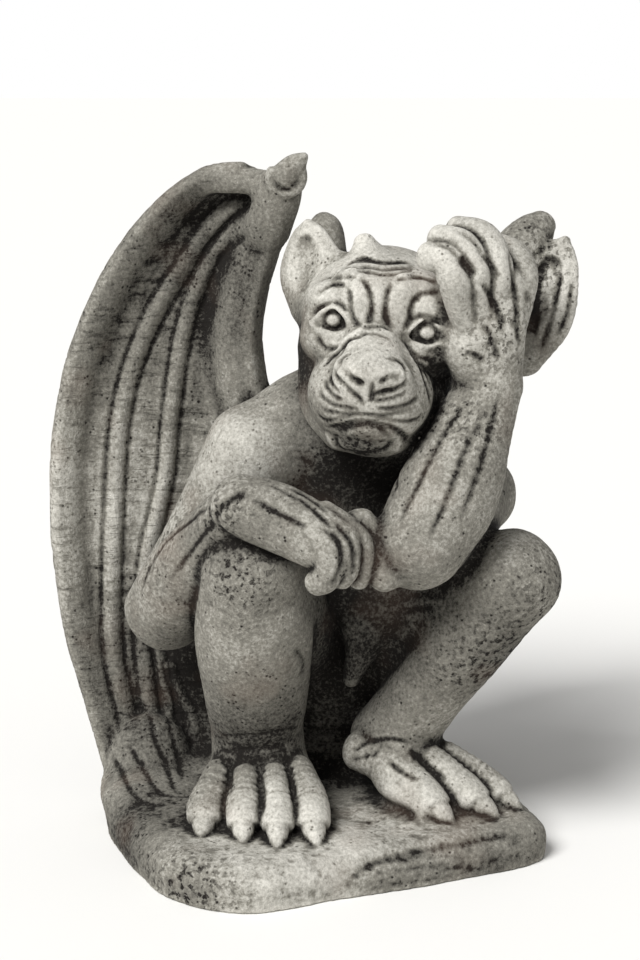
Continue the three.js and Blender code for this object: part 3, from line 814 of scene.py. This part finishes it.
# Folds pressed in from the front: a name, a width, a depth and lines of places (x, z), all in mm.
# A depth below 0 raises a ridge.
FACE_FOLDS = [
    ("brow folds", 1.5, 1.6, [
        [(15, 350), (17, 345), (17.5, 338), (19, 331), (23, 327.5)],
        [(21, 354), (26.5, 350.5), (29, 344), (29.5, 337.5), (28, 331.5), (27.5, 328.5)],
        [(22.5, 327), (27.5, 328), (34.5, 327.5), (41.5, 324.5)],
        [(41.5, 351.5), (38.5, 346.5), (37.5, 340.5), (37, 335), (38, 330.5), (41.5, 326)],
        [(43, 352), (48, 353.5), (55, 353.5), (62.5, 352), (66.5, 349)],
        [(57.5, 343), (53, 340.5), (51.5, 335), (51, 329), (47, 324.5)],
        [(53, 340.5), (57.5, 344.5), (63.5, 345.5), (68, 345)],
        [(-2.5, 342.5), (0.5, 346), (6, 349), (11.5, 350), (15.5, 349.5)],
        [(8.5, 352.5), (15, 354.5), (21, 354)],
    ]),
    ("forehead wrinkles", 1.4, 1, [
        [(10.5, 354.5), (17.5, 356.5), (25.5, 357), (34.5, 355.5), (42.5, 355.5), (50.5, 356.5),
            (56.5, 357.5)],
        [(11.5, 357), (19.5, 358.5), (29, 358.5), (38, 357.5), (48.5, 357.5), (54.5, 358.5)],
        [(17.5, 359.5), (26.5, 361), (37, 360), (46, 360), (53.5, 358.5)],
        [(21, 362), (31.5, 361), (42, 360), (51.5, 360)],
    ]),
    ("creases round the eyes", 1.3, 1.3, [
        [(-5.5, 328.5), (-2.5, 334), (2.5, 338), (8.5, 339.5), (14, 337), (17.5, 333)],
        [(-2.5, 323), (1.5, 315.5), (8.5, 315), (15, 319), (18.5, 322.5)],
        [(19.5, 323), (15, 319), (10.5, 313.5), (6, 309.5), (3, 304.5)],
        [(49.5, 327), (53, 330.5), (58.5, 332.5), (65.5, 330.5), (71.5, 326)],
        [(49, 318.5), (53, 313), (59, 308.5), (66.5, 305.5)],
        [(51, 313.5), (56.5, 306), (61, 299), (62.5, 293)],
        [(56.5, 307.5), (62.5, 299), (67.5, 293.5)],
        [(46, 322), (51, 314.5), (55, 306.5), (59.5, 298), (62.5, 287.5), (63.5, 281)],
    ]),
    ("rim of the muzzle", 2, -1.4, [
        [(6, 309.5), (10.5, 314.5), (16, 321), (23, 326), (28.5, 327), (36.5, 326), (43.5, 321.5)],
    ]),
    ("groove inside the rim", 1.3, 1.1, [
        [(7.5, 309), (13, 315.5), (18.5, 321), (25, 324.5), (29.5, 325.5), (36.5, 323.5), (42, 319.5)],
    ]),
    ("nose wings", 1.5, 1.7, [
        [(18.5, 316.5), (12.5, 312.5), (9.5, 308), (8, 304.5), (10, 301.5), (14, 298), (19, 293.5),
            (23, 289.5), (24.5, 285.5)],
        [(35, 313.5), (42, 312.5), (47.5, 308), (49, 304), (49, 300.5), (45.5, 297.5), (40.5, 295.5),
            (35, 294.5), (29.5, 292), (26, 286)],
    ]),
    ("nostrils", 1.9, 4.2, [
        [(10.5, 309.5), (14.5, 305.5), (19, 302), (25.5, 299.5)],
        [(33, 300), (37, 302.5), (42, 303.5), (47, 302.5)],
    ]),
    ("middle of the nose", 1.3, 1, [
        [(29.5, 303), (29.5, 298), (29, 293), (28, 287.5)],
    ]),
    ("muzzle wrinkles", 1.4, 1.2, [
        [(-1, 293), (2, 288.5), (8, 285.5), (16, 284.5), (24, 284)],
        [(-2, 286), (2, 282), (10.5, 281), (19.5, 281), (26, 281), (34, 280.5), (42, 281), (50, 282.5),
            (57, 284.5)],
        [(-2, 279), (2, 275), (8, 276), (15, 279), (21.5, 280.5)],
        [(27, 290), (34, 289.5), (42, 291), (47.5, 293), (51, 295.5)],
        [(29.5, 286), (37.5, 284.5), (45.5, 285), (52.5, 287), (57, 290)],
        [(28.5, 279), (36.5, 278), (45.5, 276), (52.5, 275.5), (60, 277)],
        [(3, 299.5), (4, 294.5), (8, 290.5), (14, 289)],
        [(6, 302), (7, 297), (11.5, 293.5)],
    ]),
    ("mouth", 2, 2.6, [
        [(2, 270.5), (7, 271), (13, 273.5), (19.5, 276), (26.5, 276.5), (33, 275), (40, 272.5), (46, 268),
            (51, 263)],
        [(10, 268), (15, 271.5), (22, 273.5), (28.5, 274), (35.5, 271), (40.5, 265.5)],
    ]),
    ("groove round the horn", 1.3, 1.1, [
        [(15, 358), (20, 361), (27, 362), (35, 359.5)],
    ]),
    ("folds inside the left ear", 1.8, 1.3, [
        [(136, 361), (131, 346), (128.5, 331), (127, 307)],
        [(143, 352), (140, 335), (135, 318), (130, 303)],
        [(149, 345), (147, 328), (140, 312)],
    ]),
    ("edge of the chin", 1.6, 1.4, [
        [(10, 268), (9, 261.5), (12, 257), (17.5, 255), (25.5, 255.5), (33.5, 256.5), (39, 259.5),
            (41.5, 265)],
    ]),
    ("corners of the lips", 2.4, -1.6, [
        [(4.5, 266.5), (6, 260.5), (10, 255)],
        [(43.5, 266), (45, 259), (42, 255.5)],
    ]),
]


def mould_head(clay):
    """The skull, the muzzle, the cheeks, the brows, the eyes and the nose."""
    roll = (0, HEAD_ROLL, 0)
    lump(clay, (38, 0, 319), (49, 46, 47), roll, seam=8)
    lump(clay, (31, -14, 322), (41, 33, 38), roll, seam=8)
    lump(clay, (34, -22, 340), (33, 25, 19), roll, seam=8)
    lump(clay, (34, -31, 338), (30, 21, 19), roll, seam=6)
    lump(clay, (57, -28, 338), (20, 19, 17), roll, seam=6)
    lump(clay, (29, -46, 287), (36, 34, 31), roll, seam=9)
    limb(clay, [((70, 2, 318), 26), ((96, 8, 322), 24), ((116, 12, 322), 18, 12)], side=(0, 0, 1), seam=8)
    # cheeks and jaw
    limb(clay, [((-1, -12, 306), 11, 12), ((0, -22, 286), 13, 12), ((3, -30, 274), 13, 11),
        ((13, -42, 262), 11, 9)], seam=9)
    limb(clay, [((68, -14, 298), 13, 14), ((58, -30, 278), 14, 12), ((46, -42, 264), 11, 9)], seam=9)
    lump(clay, (28, -42, 261), (25, 24, 11), roll, seam=5)
    # a dome over each eye, a cheek under it, and upright folds on both sides of the middle
    lump(clay, (8, -34, 341), (15.5, 13, 9.5), roll, seam=3)
    lump(clay, (60, -35, 335), (12.5, 13, 9.5), roll, seam=3)
    lump(clay, (4, -31, 317), (16, 17, 14), roll, seam=7)
    lump(clay, (62, -31, 311), (16, 17, 15), roll, seam=7)
    lump(clay, (64, -28, 327), (17, 17, 20), roll, seam=7)
    lump(clay, (8, -34, 329), (16, 11, 12), roll, seam=6)
    lump(clay, (60, -34, 322), (15, 11, 12), roll, seam=6)
    lump(clay, (15, -42, 313), (13, 13, 11), roll, seam=7)
    lump(clay, (48, -43, 308), (13, 13, 11), roll, seam=7)
    lump(clay, (18, -39, 334), (8, 10, 9), roll, seam=5)
    lump(clay, (52, -39, 328), (8, 9, 8), roll, seam=5)
    lump(clay, (70, -34, 327), (9, 9, 10), roll, seam=5)
    limb(clay, [((19, -37, 351), 9), ((21.5, -42, 342), 8.5), ((24.5, -45, 332), 6.5),
        ((26, -46, 327), 4.5)], seam=3)
    limb(clay, [((48, -37, 348), 9), ((45, -42, 341), 8.5), ((44, -44, 331), 7.5), ((45, -45, 325), 6)],
        seam=3)
    for centre, outer, inner, lid in (
        ((7, -38, 329.5), (-5.5, -42, 327.5), (19, -47, 325.5), 1.5),
        ((60.5, -40, 322.5), (72.5, -43, 320), (49, -48, 320.5), 1.1),
    ):
        mould_eye(clay, centre, outer, inner, lid)
    # bridge and nose
    limb(clay, [((31, -44, 324), 13, 8), ((29.5, -60, 314), 16, 12), ((29, -70, 308), 17, 11)], seam=9)
    lump(clay, (29.5, -74, 305), (21.5, 13, 8.5), roll, seam=5)
    lump(clay, (18, -71, 298), (10, 10, 9), roll, seam=5)
    lump(clay, (42, -70, 296), (10, 10, 9), roll, seam=5)
    lump(clay, (28.5, -69, 291), (15, 12, 9), roll, seam=6)
    limb(clay, [((29, -78, 301), 7, 6), ((28, -75, 290), 5, 5)], seam=4)
    fold(clay, FACE_FOLDS, 1.3)


def mould_eye(clay, centre, outer, inner, lid):
    """An eyeball in an almond opening, with thin lids and a raised iris in a ring."""
    x, y, z = centre
    limb(clay, [(outer, 2, 3), ((x, y - 12, z + 0.5), 7.5, 7), (inner, 2, 3)], side=(0, 0, 1), seam=1,
        hollow=True)
    lump(clay, centre, (12, 9.5, 9.5), (0, HEAD_ROLL, 0), seam=0.6)
    over, under = (x + 0.5, y - 9.2, z + 8.4), (x + 0.5, y - 9, z - 7.6)
    limb(clay, [(outer, 1.2), (between(outer, over, 0.5, (0, -1.5, 1.6)), lid), (over, lid),
                (between(over, inner, 0.5, (0, -0.5, 1.6)), lid), (inner, 1.2)], seam=1.8)
    limb(clay, [(outer, 1.2), (between(outer, under, 0.5, (0, -1.5, -1.6)), lid * 1.3), (under, lid * 1.5),
                (between(under, inner, 0.5, (0, -0.5, -1.6)), lid * 1.3), (inner, 1.2)], seam=1.8)
    ring = [(x + 1 + 5.2 * math.cos(a), y - 8.6 + 1.2 * abs(math.cos(a)), z + 5 * math.sin(a))
            for a in np.linspace(0, 2 * math.pi, 17)]
    press(clay, ring, 1.3, 1.7, steps=2, fade=False)
    lump(clay, (x + 1, y - 7.9, z), (3, 1.7, 3), seam=0.8)


def fold(clay, folds, strength=1.0):
    """Presses every named fold of a list onto the clay."""
    for _, width, depth, lines in folds:
        strokes(clay, width, depth * strength, lines)


def ear(clay, root, tip, width, facing, scoop):
    """A tall leaf with a rolled rim, scooped out in front."""
    middle = between(root, tip, 0.4)
    limb(clay, [
        (root, width * 0.36, 12), (middle, width * 0.5, 10), (between(root, tip, 0.8), width * 0.3, 6),
        (tip, 3, 3),
    ], side=facing, seam=4)
    forward = (Vector(tip) - Vector(root)).normalized().cross(Vector(facing)).normalized()
    if forward.y > 0:
        forward = -forward
    push = [tuple(Vector(between(root, tip, share)) + forward * gap) for share,
        gap in ((0.22, 13), (0.5, 10), (0.8, 6))]
    limb(clay, [(push[0], width * 0.16, 6 * scoop), (push[1], width * 0.3, 8 * scoop),
        (push[2], width * 0.13, 4 * scoop)],
         side=facing, seam=2, hollow=True)


def mould_ears_and_horns(clay):
    """Both ears, the blunt horn on the brow and the two stubby ones behind."""
    ear(clay, (-3, 2, 330), (-7, 12, 378), 44, (0.8, -0.5, 0), 0.55)
    ear(clay, (116, 8, 300), (146, 18, 367), 50, (0.85, -0.4, -0.3), 0.85)
    limb(clay, [((29, -11, 352), 11.5), ((27, -12, 363), 9), ((25.5, -11, 370), 6)], seam=3)
    limb(clay, [((4, 26, 352), 13), ((3, 32, 370), 11), ((2, 35, 376), 7)], seam=4)
    limb(clay, [((108, 16, 350), 15), ((124, 28, 366), 14), ((133, 36, 374), 9)], seam=4)


# ---------- finishing the clay ----------

# Where the casting is pitted: a place in mm and how far it reaches.
PITTED = [
    ((136, -36, 160), 32), ((104, -36, 122), 34), ((-46, -78, 182), 22), ((-60, -70, 224), 22),
    ((-84, -10, 180), 30), ((-78, -118, 10), 34), ((102, -50, 322), 20), ((88, -52, 268), 20),
    ((130, 22, 352), 30),
    ((24, -66, 258), 14), ((60, -34, 300), 18),
]


def roughen(clay, height):
    """The uneven skin that the mould gave: long swells everywhere, and rough patches."""
    spots = np.argwhere(np.abs(clay.depth) < 5)
    points = spots * clay.cell + clay.low
    swell = 0.7 * lattice(1, points, 17) + 0.35 * lattice(2, points, 8)
    slab = np.clip((34 - points[:, 2]) / 8, 0, 1)
    rough = slab * 0.9
    for centre, radius in PITTED:
        rough = np.maximum(rough, nearness(points, centre, radius))
    pitted = np.abs(lattice(3, points, 4.2)) * 1.6 - 0.5
    change = height * (swell + slab * 2.4 * lattice(4, points, 26) + rough * 1.1 * pitted)
    clay.depth[tuple(spots.T)] += change.astype(np.float32)


def level_underside(clay):
    """Cuts the slab flat where it rests on the ground."""
    z = clay.lines[2][None, None, :]
    cuts = (slice(None), slice(None), slice(0, int((12 - clay.low[2]) / clay.cell)))
    clay.depth[cuts] = np.maximum(clay.depth[cuts], -z[:, :, cuts[2]])


def blurred(values, reach):
    """Values averaged twice over boxes that reach that many cells each way."""
    for _ in range(2):
        for axis in range(3):
            padded = np.pad(values, [(reach + 1, reach) if a == axis else (0, 0) for a in range(3)],
                mode="edge")
            running = np.cumsum(padded, axis=axis, dtype=np.float32)
            upper = np.take(running, np.arange(2 * reach + 1, running.shape[axis]), axis=axis)
            lower = np.take(running, np.arange(0, running.shape[axis] - 2 * reach - 1), axis=axis)
            values = (upper - lower) / (2 * reach + 1)
    return values


def skin(clay, faces):
    """The clay's surface as a mesh of at most that many triangles, in mm."""
    volume = openvdb.FloatGrid(3.0)
    volume.copyFromArray(np.clip(clay.depth, -3, 3))
    volume.transform = openvdb.createLinearTransform(voxelSize=clay.cell)
    points, triangles, quads = volume.convertToPolygons(isovalue=0.0, adaptivity=0.0)
    points = points + clay.low
    mesh = bpy.data.meshes.new("Gargoyle skin")
    corners = np.concatenate([quads.reshape(-1), triangles.reshape(-1)]).astype(np.int32)
    starts = np.concatenate([np.arange(len(quads)) * 4, len(quads) * 4 + np.arange(len(triangles)) * 3])
    mesh.vertices.add(len(points))
    mesh.loops.add(len(corners))
    mesh.polygons.add(len(starts))
    mesh.vertices.foreach_set("co", points.astype(np.float32).reshape(-1))
    mesh.loops.foreach_set("vertex_index", corners)
    mesh.polygons.foreach_set("loop_start", starts.astype(np.int32))
    mesh.update(calc_edges=True)
    rough = bpy.data.objects.new("Gargoyle skin", mesh)
    bpy.context.collection.objects.link(rough)
    thin = rough.modifiers.new("Fewer faces", "DECIMATE")
    thin.ratio = min(faces / (2 * len(quads) + len(triangles)), 1.0)
    thin.use_collapse_triangulate = True
    reduced = bpy.data.meshes.new_from_object(rough.evaluated_get(bpy.context.evaluated_depsgraph_get()))
    bpy.data.objects.remove(rough)
    bpy.data.meshes.remove(mesh)
    return reduced


# Where hands and weather have rubbed the casting pale, and where dark is painted, mostly as painted shade
# under the head, the arms and the legs, with soot in places: a place in mm, how far it reaches and how much.
RUBBED = [
    ((29, -62, 302), 44, 0.34), ((30, -30, 352), 34, 0.42), ((92, -48, 345), 42, 0.30),
    ((76, -56, 368), 24, 0.34),
    ((-8, -2, 362), 24, 0.4), ((142, 8, 345), 26, 0.36), ((70, -62, 240), 36, 0.10),
    ((-38, -12, 246), 36, 0.30),
    ((4, -90, 215), 26, 0.10), ((-40, -84, 32), 34, 0.30), ((90, -40, 34), 40, 0.18),
    ((0, -96, 27), 50, 0.28),
    ((62, -66, 26), 52, 0.34), ((116, -30, 200), 22, 0.14), ((-38, -60, 150), 24, 0.10),
    ((24, -10, 366), 20, 0.34),
    ((-50, -122, 8), 36, 0.16), ((-145, 50, 200), 70, 0.22), ((-110, 50, 190), 60, 0.18),
]
# Dark spots: mostly painted shade on the chest, under the head, under the right forearm and between and
# behind the legs; patina on the slab's sides, the horns and the wings.
SOOT_AND_SHADE = [
    ((22, -2, 212), 44, 0.9), ((-10, -14, 300), 26, 0.7), ((26, -66, 258), 17, 0.42),
    ((20, -4, 128), 40, 0.45),
    ((-38, -34, 84), 24, 0.5), ((-46, -50, 196), 22, 0.40), ((-124, -40, 14), 34, 0.42),
    ((100, -74, 8), 44, 0.42),
    ((44, -96, 6), 30, 0.30), ((-52, 46, 330), 34, 0.26), ((112, -30, 128), 26, 0.26),
    ((132, 30, 366), 16, 0.14),
    ((4, 30, 366), 16, 0.30), ((62, -34, 296), 20, 0.45), ((-80, 30, 90), 44, 0.34),
    ((-70, -116, 10), 22, 0.24),
    ((68, -20, 176), 26, 0.30), ((-30, 40, 100), 60, 0.30), ((-66, 40, 372), 34, 0.16),
    ((-2, -60, 276), 14, 0.20),
]


def paint_patina_and_shade(clay, mesh):
    """Stores each point's tone, 0 black to 1 pale, with patina and painted shade in its hollows, and its
    shares of wing and of pitting.
    """
    count = len(mesh.vertices)
    points = np.empty(count * 3, np.float32)
    mesh.vertices.foreach_get("co", points)
    points = points.reshape(-1, 3).astype(float)
    hollows = []
    for reach, step in ((2.4, 1), (10, 2), (26, 4)):
        coarse = np.clip(clay.depth[::step, ::step, ::step], -reach * 1.2 - 2, reach * 1.2 + 2)
        cell = clay.cell * step
        hollows.append(-clay.sample(points, blurred(coarse, max(int(round(reach / cell)), 1)), cell))
    fine, wide, deep = hollows
    wing = np.clip((-points[:, 0] - 62) / 12, 0, 1) * np.clip((points[:, 1] - 8) / 10, 0, 1)
    wing = np.maximum(wing, np.clip((points[:, 1] - 96) / 14, 0, 1)) * np.clip((points[:, 2] - 34) / 20, 0, 1)
    tone = 0.44 - 0.10 * wing
    # Painted shade together with patina: darker in wide hollows and darkest in deep recesses such as the
    # chest under the chin, as ambient occlusion would shade them.
    tone = tone - (0.36 - 0.24 * wing) * np.clip((wide - 0.6) / 4, 0, 1) - 0.4 * np.clip((deep - 2) / 9, 0, 1)
    # Rubbed spots make the tone paler; the dark spots paint shade, with soot and patina in places.
    for spots, sign in ((RUBBED, 1), (SOOT_AND_SHADE, -1)):
        for centre, radius, amount in spots:
            tone = tone + sign * amount * nearness(points, centre, radius)
    tone = np.clip(tone, 0, 0.76)
    # Darker still in fine crevices, and a little paler on fine ridges.
    tone = tone - (1.15 - 0.55 * wing) * np.clip(fine / 1.0, 0, 1) + 0.2 * np.clip(-fine / 1.0, 0, 1)
    pitted = np.zeros(count)
    for centre, radius in PITTED:
        pitted = np.maximum(pitted, nearness(points, centre, radius))
    # The stored tone holds patina, painted shade in hollows and the painted dark spots.
    values = np.stack([np.clip(tone, 0, 1), wing, pitted, np.ones(count)], 1)
    layer = mesh.attributes.new("patina_with_shade", "FLOAT_COLOR", "POINT")
    layer.data.foreach_set("color", values.astype(np.float32).reshape(-1))


# ---------- material ----------

def linear(code):
    """A hex sRGB colour as the linear numbers that Blender works in."""
    values = [int(code[n:n + 2], 16) / 255 for n in (1, 3, 5)]
    return tuple(v / 12.92 if v <= 0.04045 else ((v + 0.055) / 1.055) ** 2.4 for v in values) + (1.0,)


def put(tree, kind, links=None, **settings):
    """Adds a node with its settings; links maps its inputs to other nodes' outputs or to values."""
    node = tree.nodes.new(kind)
    for name, value in settings.items():
        setattr(node, name, value)
    for name, source in (links or {}).items():
        if isinstance(source, bpy.types.NodeSocket):
            tree.links.new(source, node.inputs[name])
        else:
            node.inputs[name].default_value = source
    return node


def cast_stone(colours):
    """Cast stone: pale where it is rubbed, near-black in hollows from patina and painted shade, with fine
    pits.
    """
    material = bpy.data.materials.new("Cast stone")
    material.use_nodes = True
    tree = material.node_tree
    tree.nodes.clear()
    place = put(tree, "ShaderNodeTexCoord").outputs["Object"]
    # The stored tone already holds the patina, the painted shade in hollows and the painted dark spots.
    patina_with_shade = put(tree, "ShaderNodeAttribute", attribute_name="patina_with_shade")
    tone, wing, pitted = put(tree, "ShaderNodeSeparateColor", {"Color": patina_with_shade.outputs["Color"]}).outputs

    # grains by their size in mm, sharpness and stretch; the wing's wrinkles run across its skin
    grains = {}
    for name, size, detail, rough, squash in (
        ("speckle", 2.2, 4.0, 0.7, (1, 1, 1)), ("blotch", 24.0, 4.0, 0.6, (1, 1, 1)),
        ("dust", 0.9, 2.0, 0.6, (1, 1, 1)),
        ("wrinkle", 2.6, 3.0, 0.6, (0.16, 0.3, 1)), ("sinew", 3.0, 3.0, 0.6, (1, 1, 0.1)),
        ("worm", 3.4, 2.0, 0.5, (1, 1, 1)), ("patch", 9.0, 3.0, 0.6, (1, 1, 1)),
        ("cloud", 60.0, 2.0, 0.6, (1, 1, 1)),
    ):
        stretched = put(tree, "ShaderNodeMapping", {"Vector": place, "Scale": squash}).outputs[0]
        grains[name] = put(tree, "ShaderNodeTexNoise", {
            "Vector": stretched, "Scale": 1000.0 / size, "Detail": detail, "Roughness": rough,
        }).outputs["Fac"]
    cells = put(tree, "ShaderNodeTexVoronoi", {"Vector": place, "Scale": 1000.0 / 3.2}).outputs["Distance"]

    # shares from 0 to 1: a value, the two ends of the range that counts, and what it is weighed with
    shares = {}
    for name, value, low, high, weight in (
        ("hole", cells, 0.34, 0.1, grains["patch"]), ("gate", grains["patch"], 0.5, 0.62, None),
        ("worm", grains["worm"], 0.46, 0.38, pitted), ("fold", grains["wrinkle"], 0.47, 0.3, wing),
        ("string", grains["sinew"], 0.48, 0.3, wing), ("stain", grains["cloud"], 0.55, 0.72, None),
    ):
        share = put(tree, "ShaderNodeMapRange", {"Value": value, "From Min": low,
            "From Max": high}).outputs[0]
        if weight is not None:
            share = put(tree, "ShaderNodeMath", {0: share, 1: weight}, operation="MULTIPLY").outputs[0]
        shares[name] = share
    pit = put(tree, "ShaderNodeMath", {0: shares["hole"], 1: shares["gate"]}, operation="MULTIPLY").outputs[0]

    for value, weight, lift in (
        (grains["speckle"], 1.0, -0.5), (grains["blotch"], 0.5, -0.25), (pit, -0.8, 0.0),
        (shares["worm"], -0.4, 0.0),
        (shares["fold"], -0.2, 0.0), (shares["string"], -0.06, 0.0),
    ):
        lifted = put(tree, "ShaderNodeMath", {0: tone, 1: lift}, operation="ADD").outputs[0]
        tone = put(tree, "ShaderNodeMath", {0: value, 1: weight, 2: lifted},
            operation="MULTIPLY_ADD").outputs[0]
    ramp = put(tree, "ShaderNodeValToRGB", {"Fac": tone})
    stops = ramp.color_ramp.elements
    stops[0].position, stops[0].color = 0.0, linear(colours.dark)
    stops[1].position, stops[1].color = 1.0, linear(colours.pale)
    stops.new(0.5).color = linear(colours.mid)
    faint = put(tree, "ShaderNodeMath", {0: shares["stain"], 1: 0.2}, operation="MULTIPLY").outputs[0]
    colour = put(tree, "ShaderNodeMix", {0: faint, 6: ramp.outputs["Color"], 7: linear(colours.rust)},
        data_type="RGBA")

    relief = put(tree, "ShaderNodeMath", {0: grains["speckle"], 1: grains["dust"]},
        operation="ADD").outputs[0]
    for value, weight in ((pit, -1.2), (shares["worm"], -1.6), (shares["fold"], -0.9),
            (shares["string"], -0.3)):
        relief = put(tree, "ShaderNodeMath", {0: value, 1: weight, 2: relief},
            operation="MULTIPLY_ADD").outputs[0]
    bump = put(tree, "ShaderNodeBump", {"Height": relief, "Distance": colours.relief, "Strength": 0.8})
    shader = put(tree, "ShaderNodeBsdfPrincipled", {
        "Base Color": colour.outputs[2], "Roughness": 0.92, "Specular IOR Level": 0.25,
        "Normal": bump.outputs["Normal"],
    })
    put(tree, "ShaderNodeOutputMaterial", {"Surface": shader.outputs["BSDF"]})
    return material


# ---------- operators ----------

class GARGOYLE_OT_casting(Operator):
    """Sculpt the gargoyle and its slab as one casting and give it its stone"""
    bl_idname = "gargoyle.casting"
    bl_label = "Casting"

    def execute(self, context):
        carving = context.scene.gargoyle_carving
        clay = Clay(CLAY_LOW, CLAY_HIGH, carving.cell)
        mould_slab(clay)
        mould_wings(clay)
        mould_body(clay)
        mould_leg(clay, hip_right, knee_right, ankle_right, 35, (1, 0, 0))
        mould_leg(clay, hip_left, knee_left, ankle_left, 29, (0.7, 0.7, 0))
        mould_foot(clay, ankle_right, (-36, -26, 42), ((-35, -46, 34), 39, 9), (1, 0, 0), RIGHT_TOES)
        mould_foot(clay, ankle_left, (58, -8, 42), ((74, -16, 34), 36, 8), (0.45, 0.9, 0), LEFT_TOES)
        mould_right_arm(clay)
        mould_ears_and_horns(clay)
        mould_head(clay)
        mould_left_arm(clay)
        fold(clay, LEG_FOLDS)
        fold(clay, HAND_FOLDS)
        roughen(clay, carving.roughness)
        level_underside(clay)
        mesh = skin(clay, carving.faces)
        paint_patina_and_shade(clay, mesh)
        points = np.empty(len(mesh.vertices) * 3, np.float32)
        mesh.vertices.foreach_get("co", points)
        mesh.vertices.foreach_set("co", points * np.float32(MILLIMETRE))
        mesh.update()
        if len(mesh.polygons) >= 200000:
            raise RuntimeError("the casting has too many triangles")
        mesh.shade_smooth()
        mesh.materials.append(cast_stone(context.scene.gargoyle_stone))
        casting = bpy.data.objects.new("gargoyle_casting", mesh)
        context.collection.objects.link(casting)
        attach(casting, "root")
        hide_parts("gargoyle")
        return {"FINISHED"}


def plain_material(name, colour):
    """A matt paint of one colour."""
    material = bpy.data.materials.new(name)
    material.use_nodes = True
    shader = material.node_tree.nodes["Principled BSDF"]
    shader.inputs["Base Color"].default_value = linear(colour)
    shader.inputs["Roughness"].default_value = 0.9
    return material


class GARGOYLE_OT_studio(Operator):
    """Lay the pale floor, hang the soft lights and place the camera"""
    bl_idname = "gargoyle.studio"
    bl_label = "Studio"

    def execute(self, context):
        studio = context.scene.gargoyle_studio
        mesh = bpy.data.meshes.new("Floor")
        work = bmesh.new()
        bmesh.ops.create_grid(work, x_segments=1, y_segments=1, size=FLOOR_REACH)
        work.to_mesh(mesh)
        work.free()
        mesh.materials.append(plain_material("Floor paint", studio.floor))
        floor = bpy.data.objects.new("Floor", mesh)
        floor.location.z = CAD_BOX[0][2] - FLOOR_DROP
        context.collection.objects.link(floor)
        world = bpy.data.worlds.new("Studio air")
        world.use_nodes = True
        air = world.node_tree
        background = air.nodes["Background"]
        background.inputs["Color"].default_value = (1.0, 1.0, 1.0, 1.0)
        seen = put(air, "ShaderNodeLightPath").outputs["Is Camera Ray"]
        level = put(air, "ShaderNodeMapRange", {"Value": seen, "To Min": studio.ambient, "To Max": 1.0})
        air.links.new(level.outputs["Result"], background.inputs["Strength"])
        context.scene.world = world
        key = bpy.data.lights.new("Key", "SUN")
        key.energy = studio.key
        key.angle = math.radians(KEY_SOFTNESS)
        lamp = bpy.data.objects.new("Key", key)
        lamp.rotation_euler = Vector(KEY_DIRECTION).to_track_quat("-Z", "Y").to_euler()
        context.collection.objects.link(lamp)
        context.scene.view_settings.view_transform = "Standard"

        lens = bpy.data.cameras.new("Camera")
        lens.lens = LENS
        lens.sensor_fit = "VERTICAL"
        lens.sensor_height = SENSOR_HEIGHT
        camera = bpy.data.objects.new("Camera", lens)
        tilt = studio.elevation
        target = Vector(studio.target)
        camera.location = target + studio.distance * Vector((0, -math.cos(tilt), math.sin(tilt)))
        camera.rotation_euler = (math.pi / 2 - tilt, 0, 0)
        context.collection.objects.link(camera)
        context.scene.camera = camera
        return {"FINISHED"}


class GARGOYLE_PT_panel(Panel):
    """Lists the steps that make the gargoyle"""
    bl_label = "Gargoyle"
    bl_idname = "GARGOYLE_PT_panel"
    bl_space_type = "VIEW_3D"
    bl_region_type = "UI"
    bl_category = "Gargoyle"

    def draw(self, context):
        layout = self.layout
        for group in (context.scene.gargoyle_carving, context.scene.gargoyle_stone,
                context.scene.gargoyle_studio):
            box = layout.box()
            for name in group.bl_rna.properties.keys():
                if name not in {"rna_type", "name"}:
                    box.prop(group, name)
        layout.operator(GARGOYLE_OT_casting.bl_idname)
        layout.operator(GARGOYLE_OT_studio.bl_idname)


CLASSES = (
    GargoyleCarving, GargoyleStone, GargoyleStudio, GARGOYLE_OT_casting, GARGOYLE_OT_studio,
    GARGOYLE_PT_panel,
)
SETTINGS = {
    "gargoyle_carving": GargoyleCarving, "gargoyle_stone": GargoyleStone, "gargoyle_studio": GargoyleStudio,
}


def register():
    for entry in CLASSES:
        bpy.utils.register_class(entry)
    for name, group in SETTINGS.items():
        setattr(bpy.types.Scene, name, PointerProperty(type=group))


def unregister():
    for name in SETTINGS:
        delattr(bpy.types.Scene, name)
    for entry in reversed(CLASSES):
        bpy.utils.unregister_class(entry)


def main():
    register()
    bpy.ops.gargoyle.casting()
    bpy.ops.gargoyle.studio()


if __name__ == "__main__":
    main()
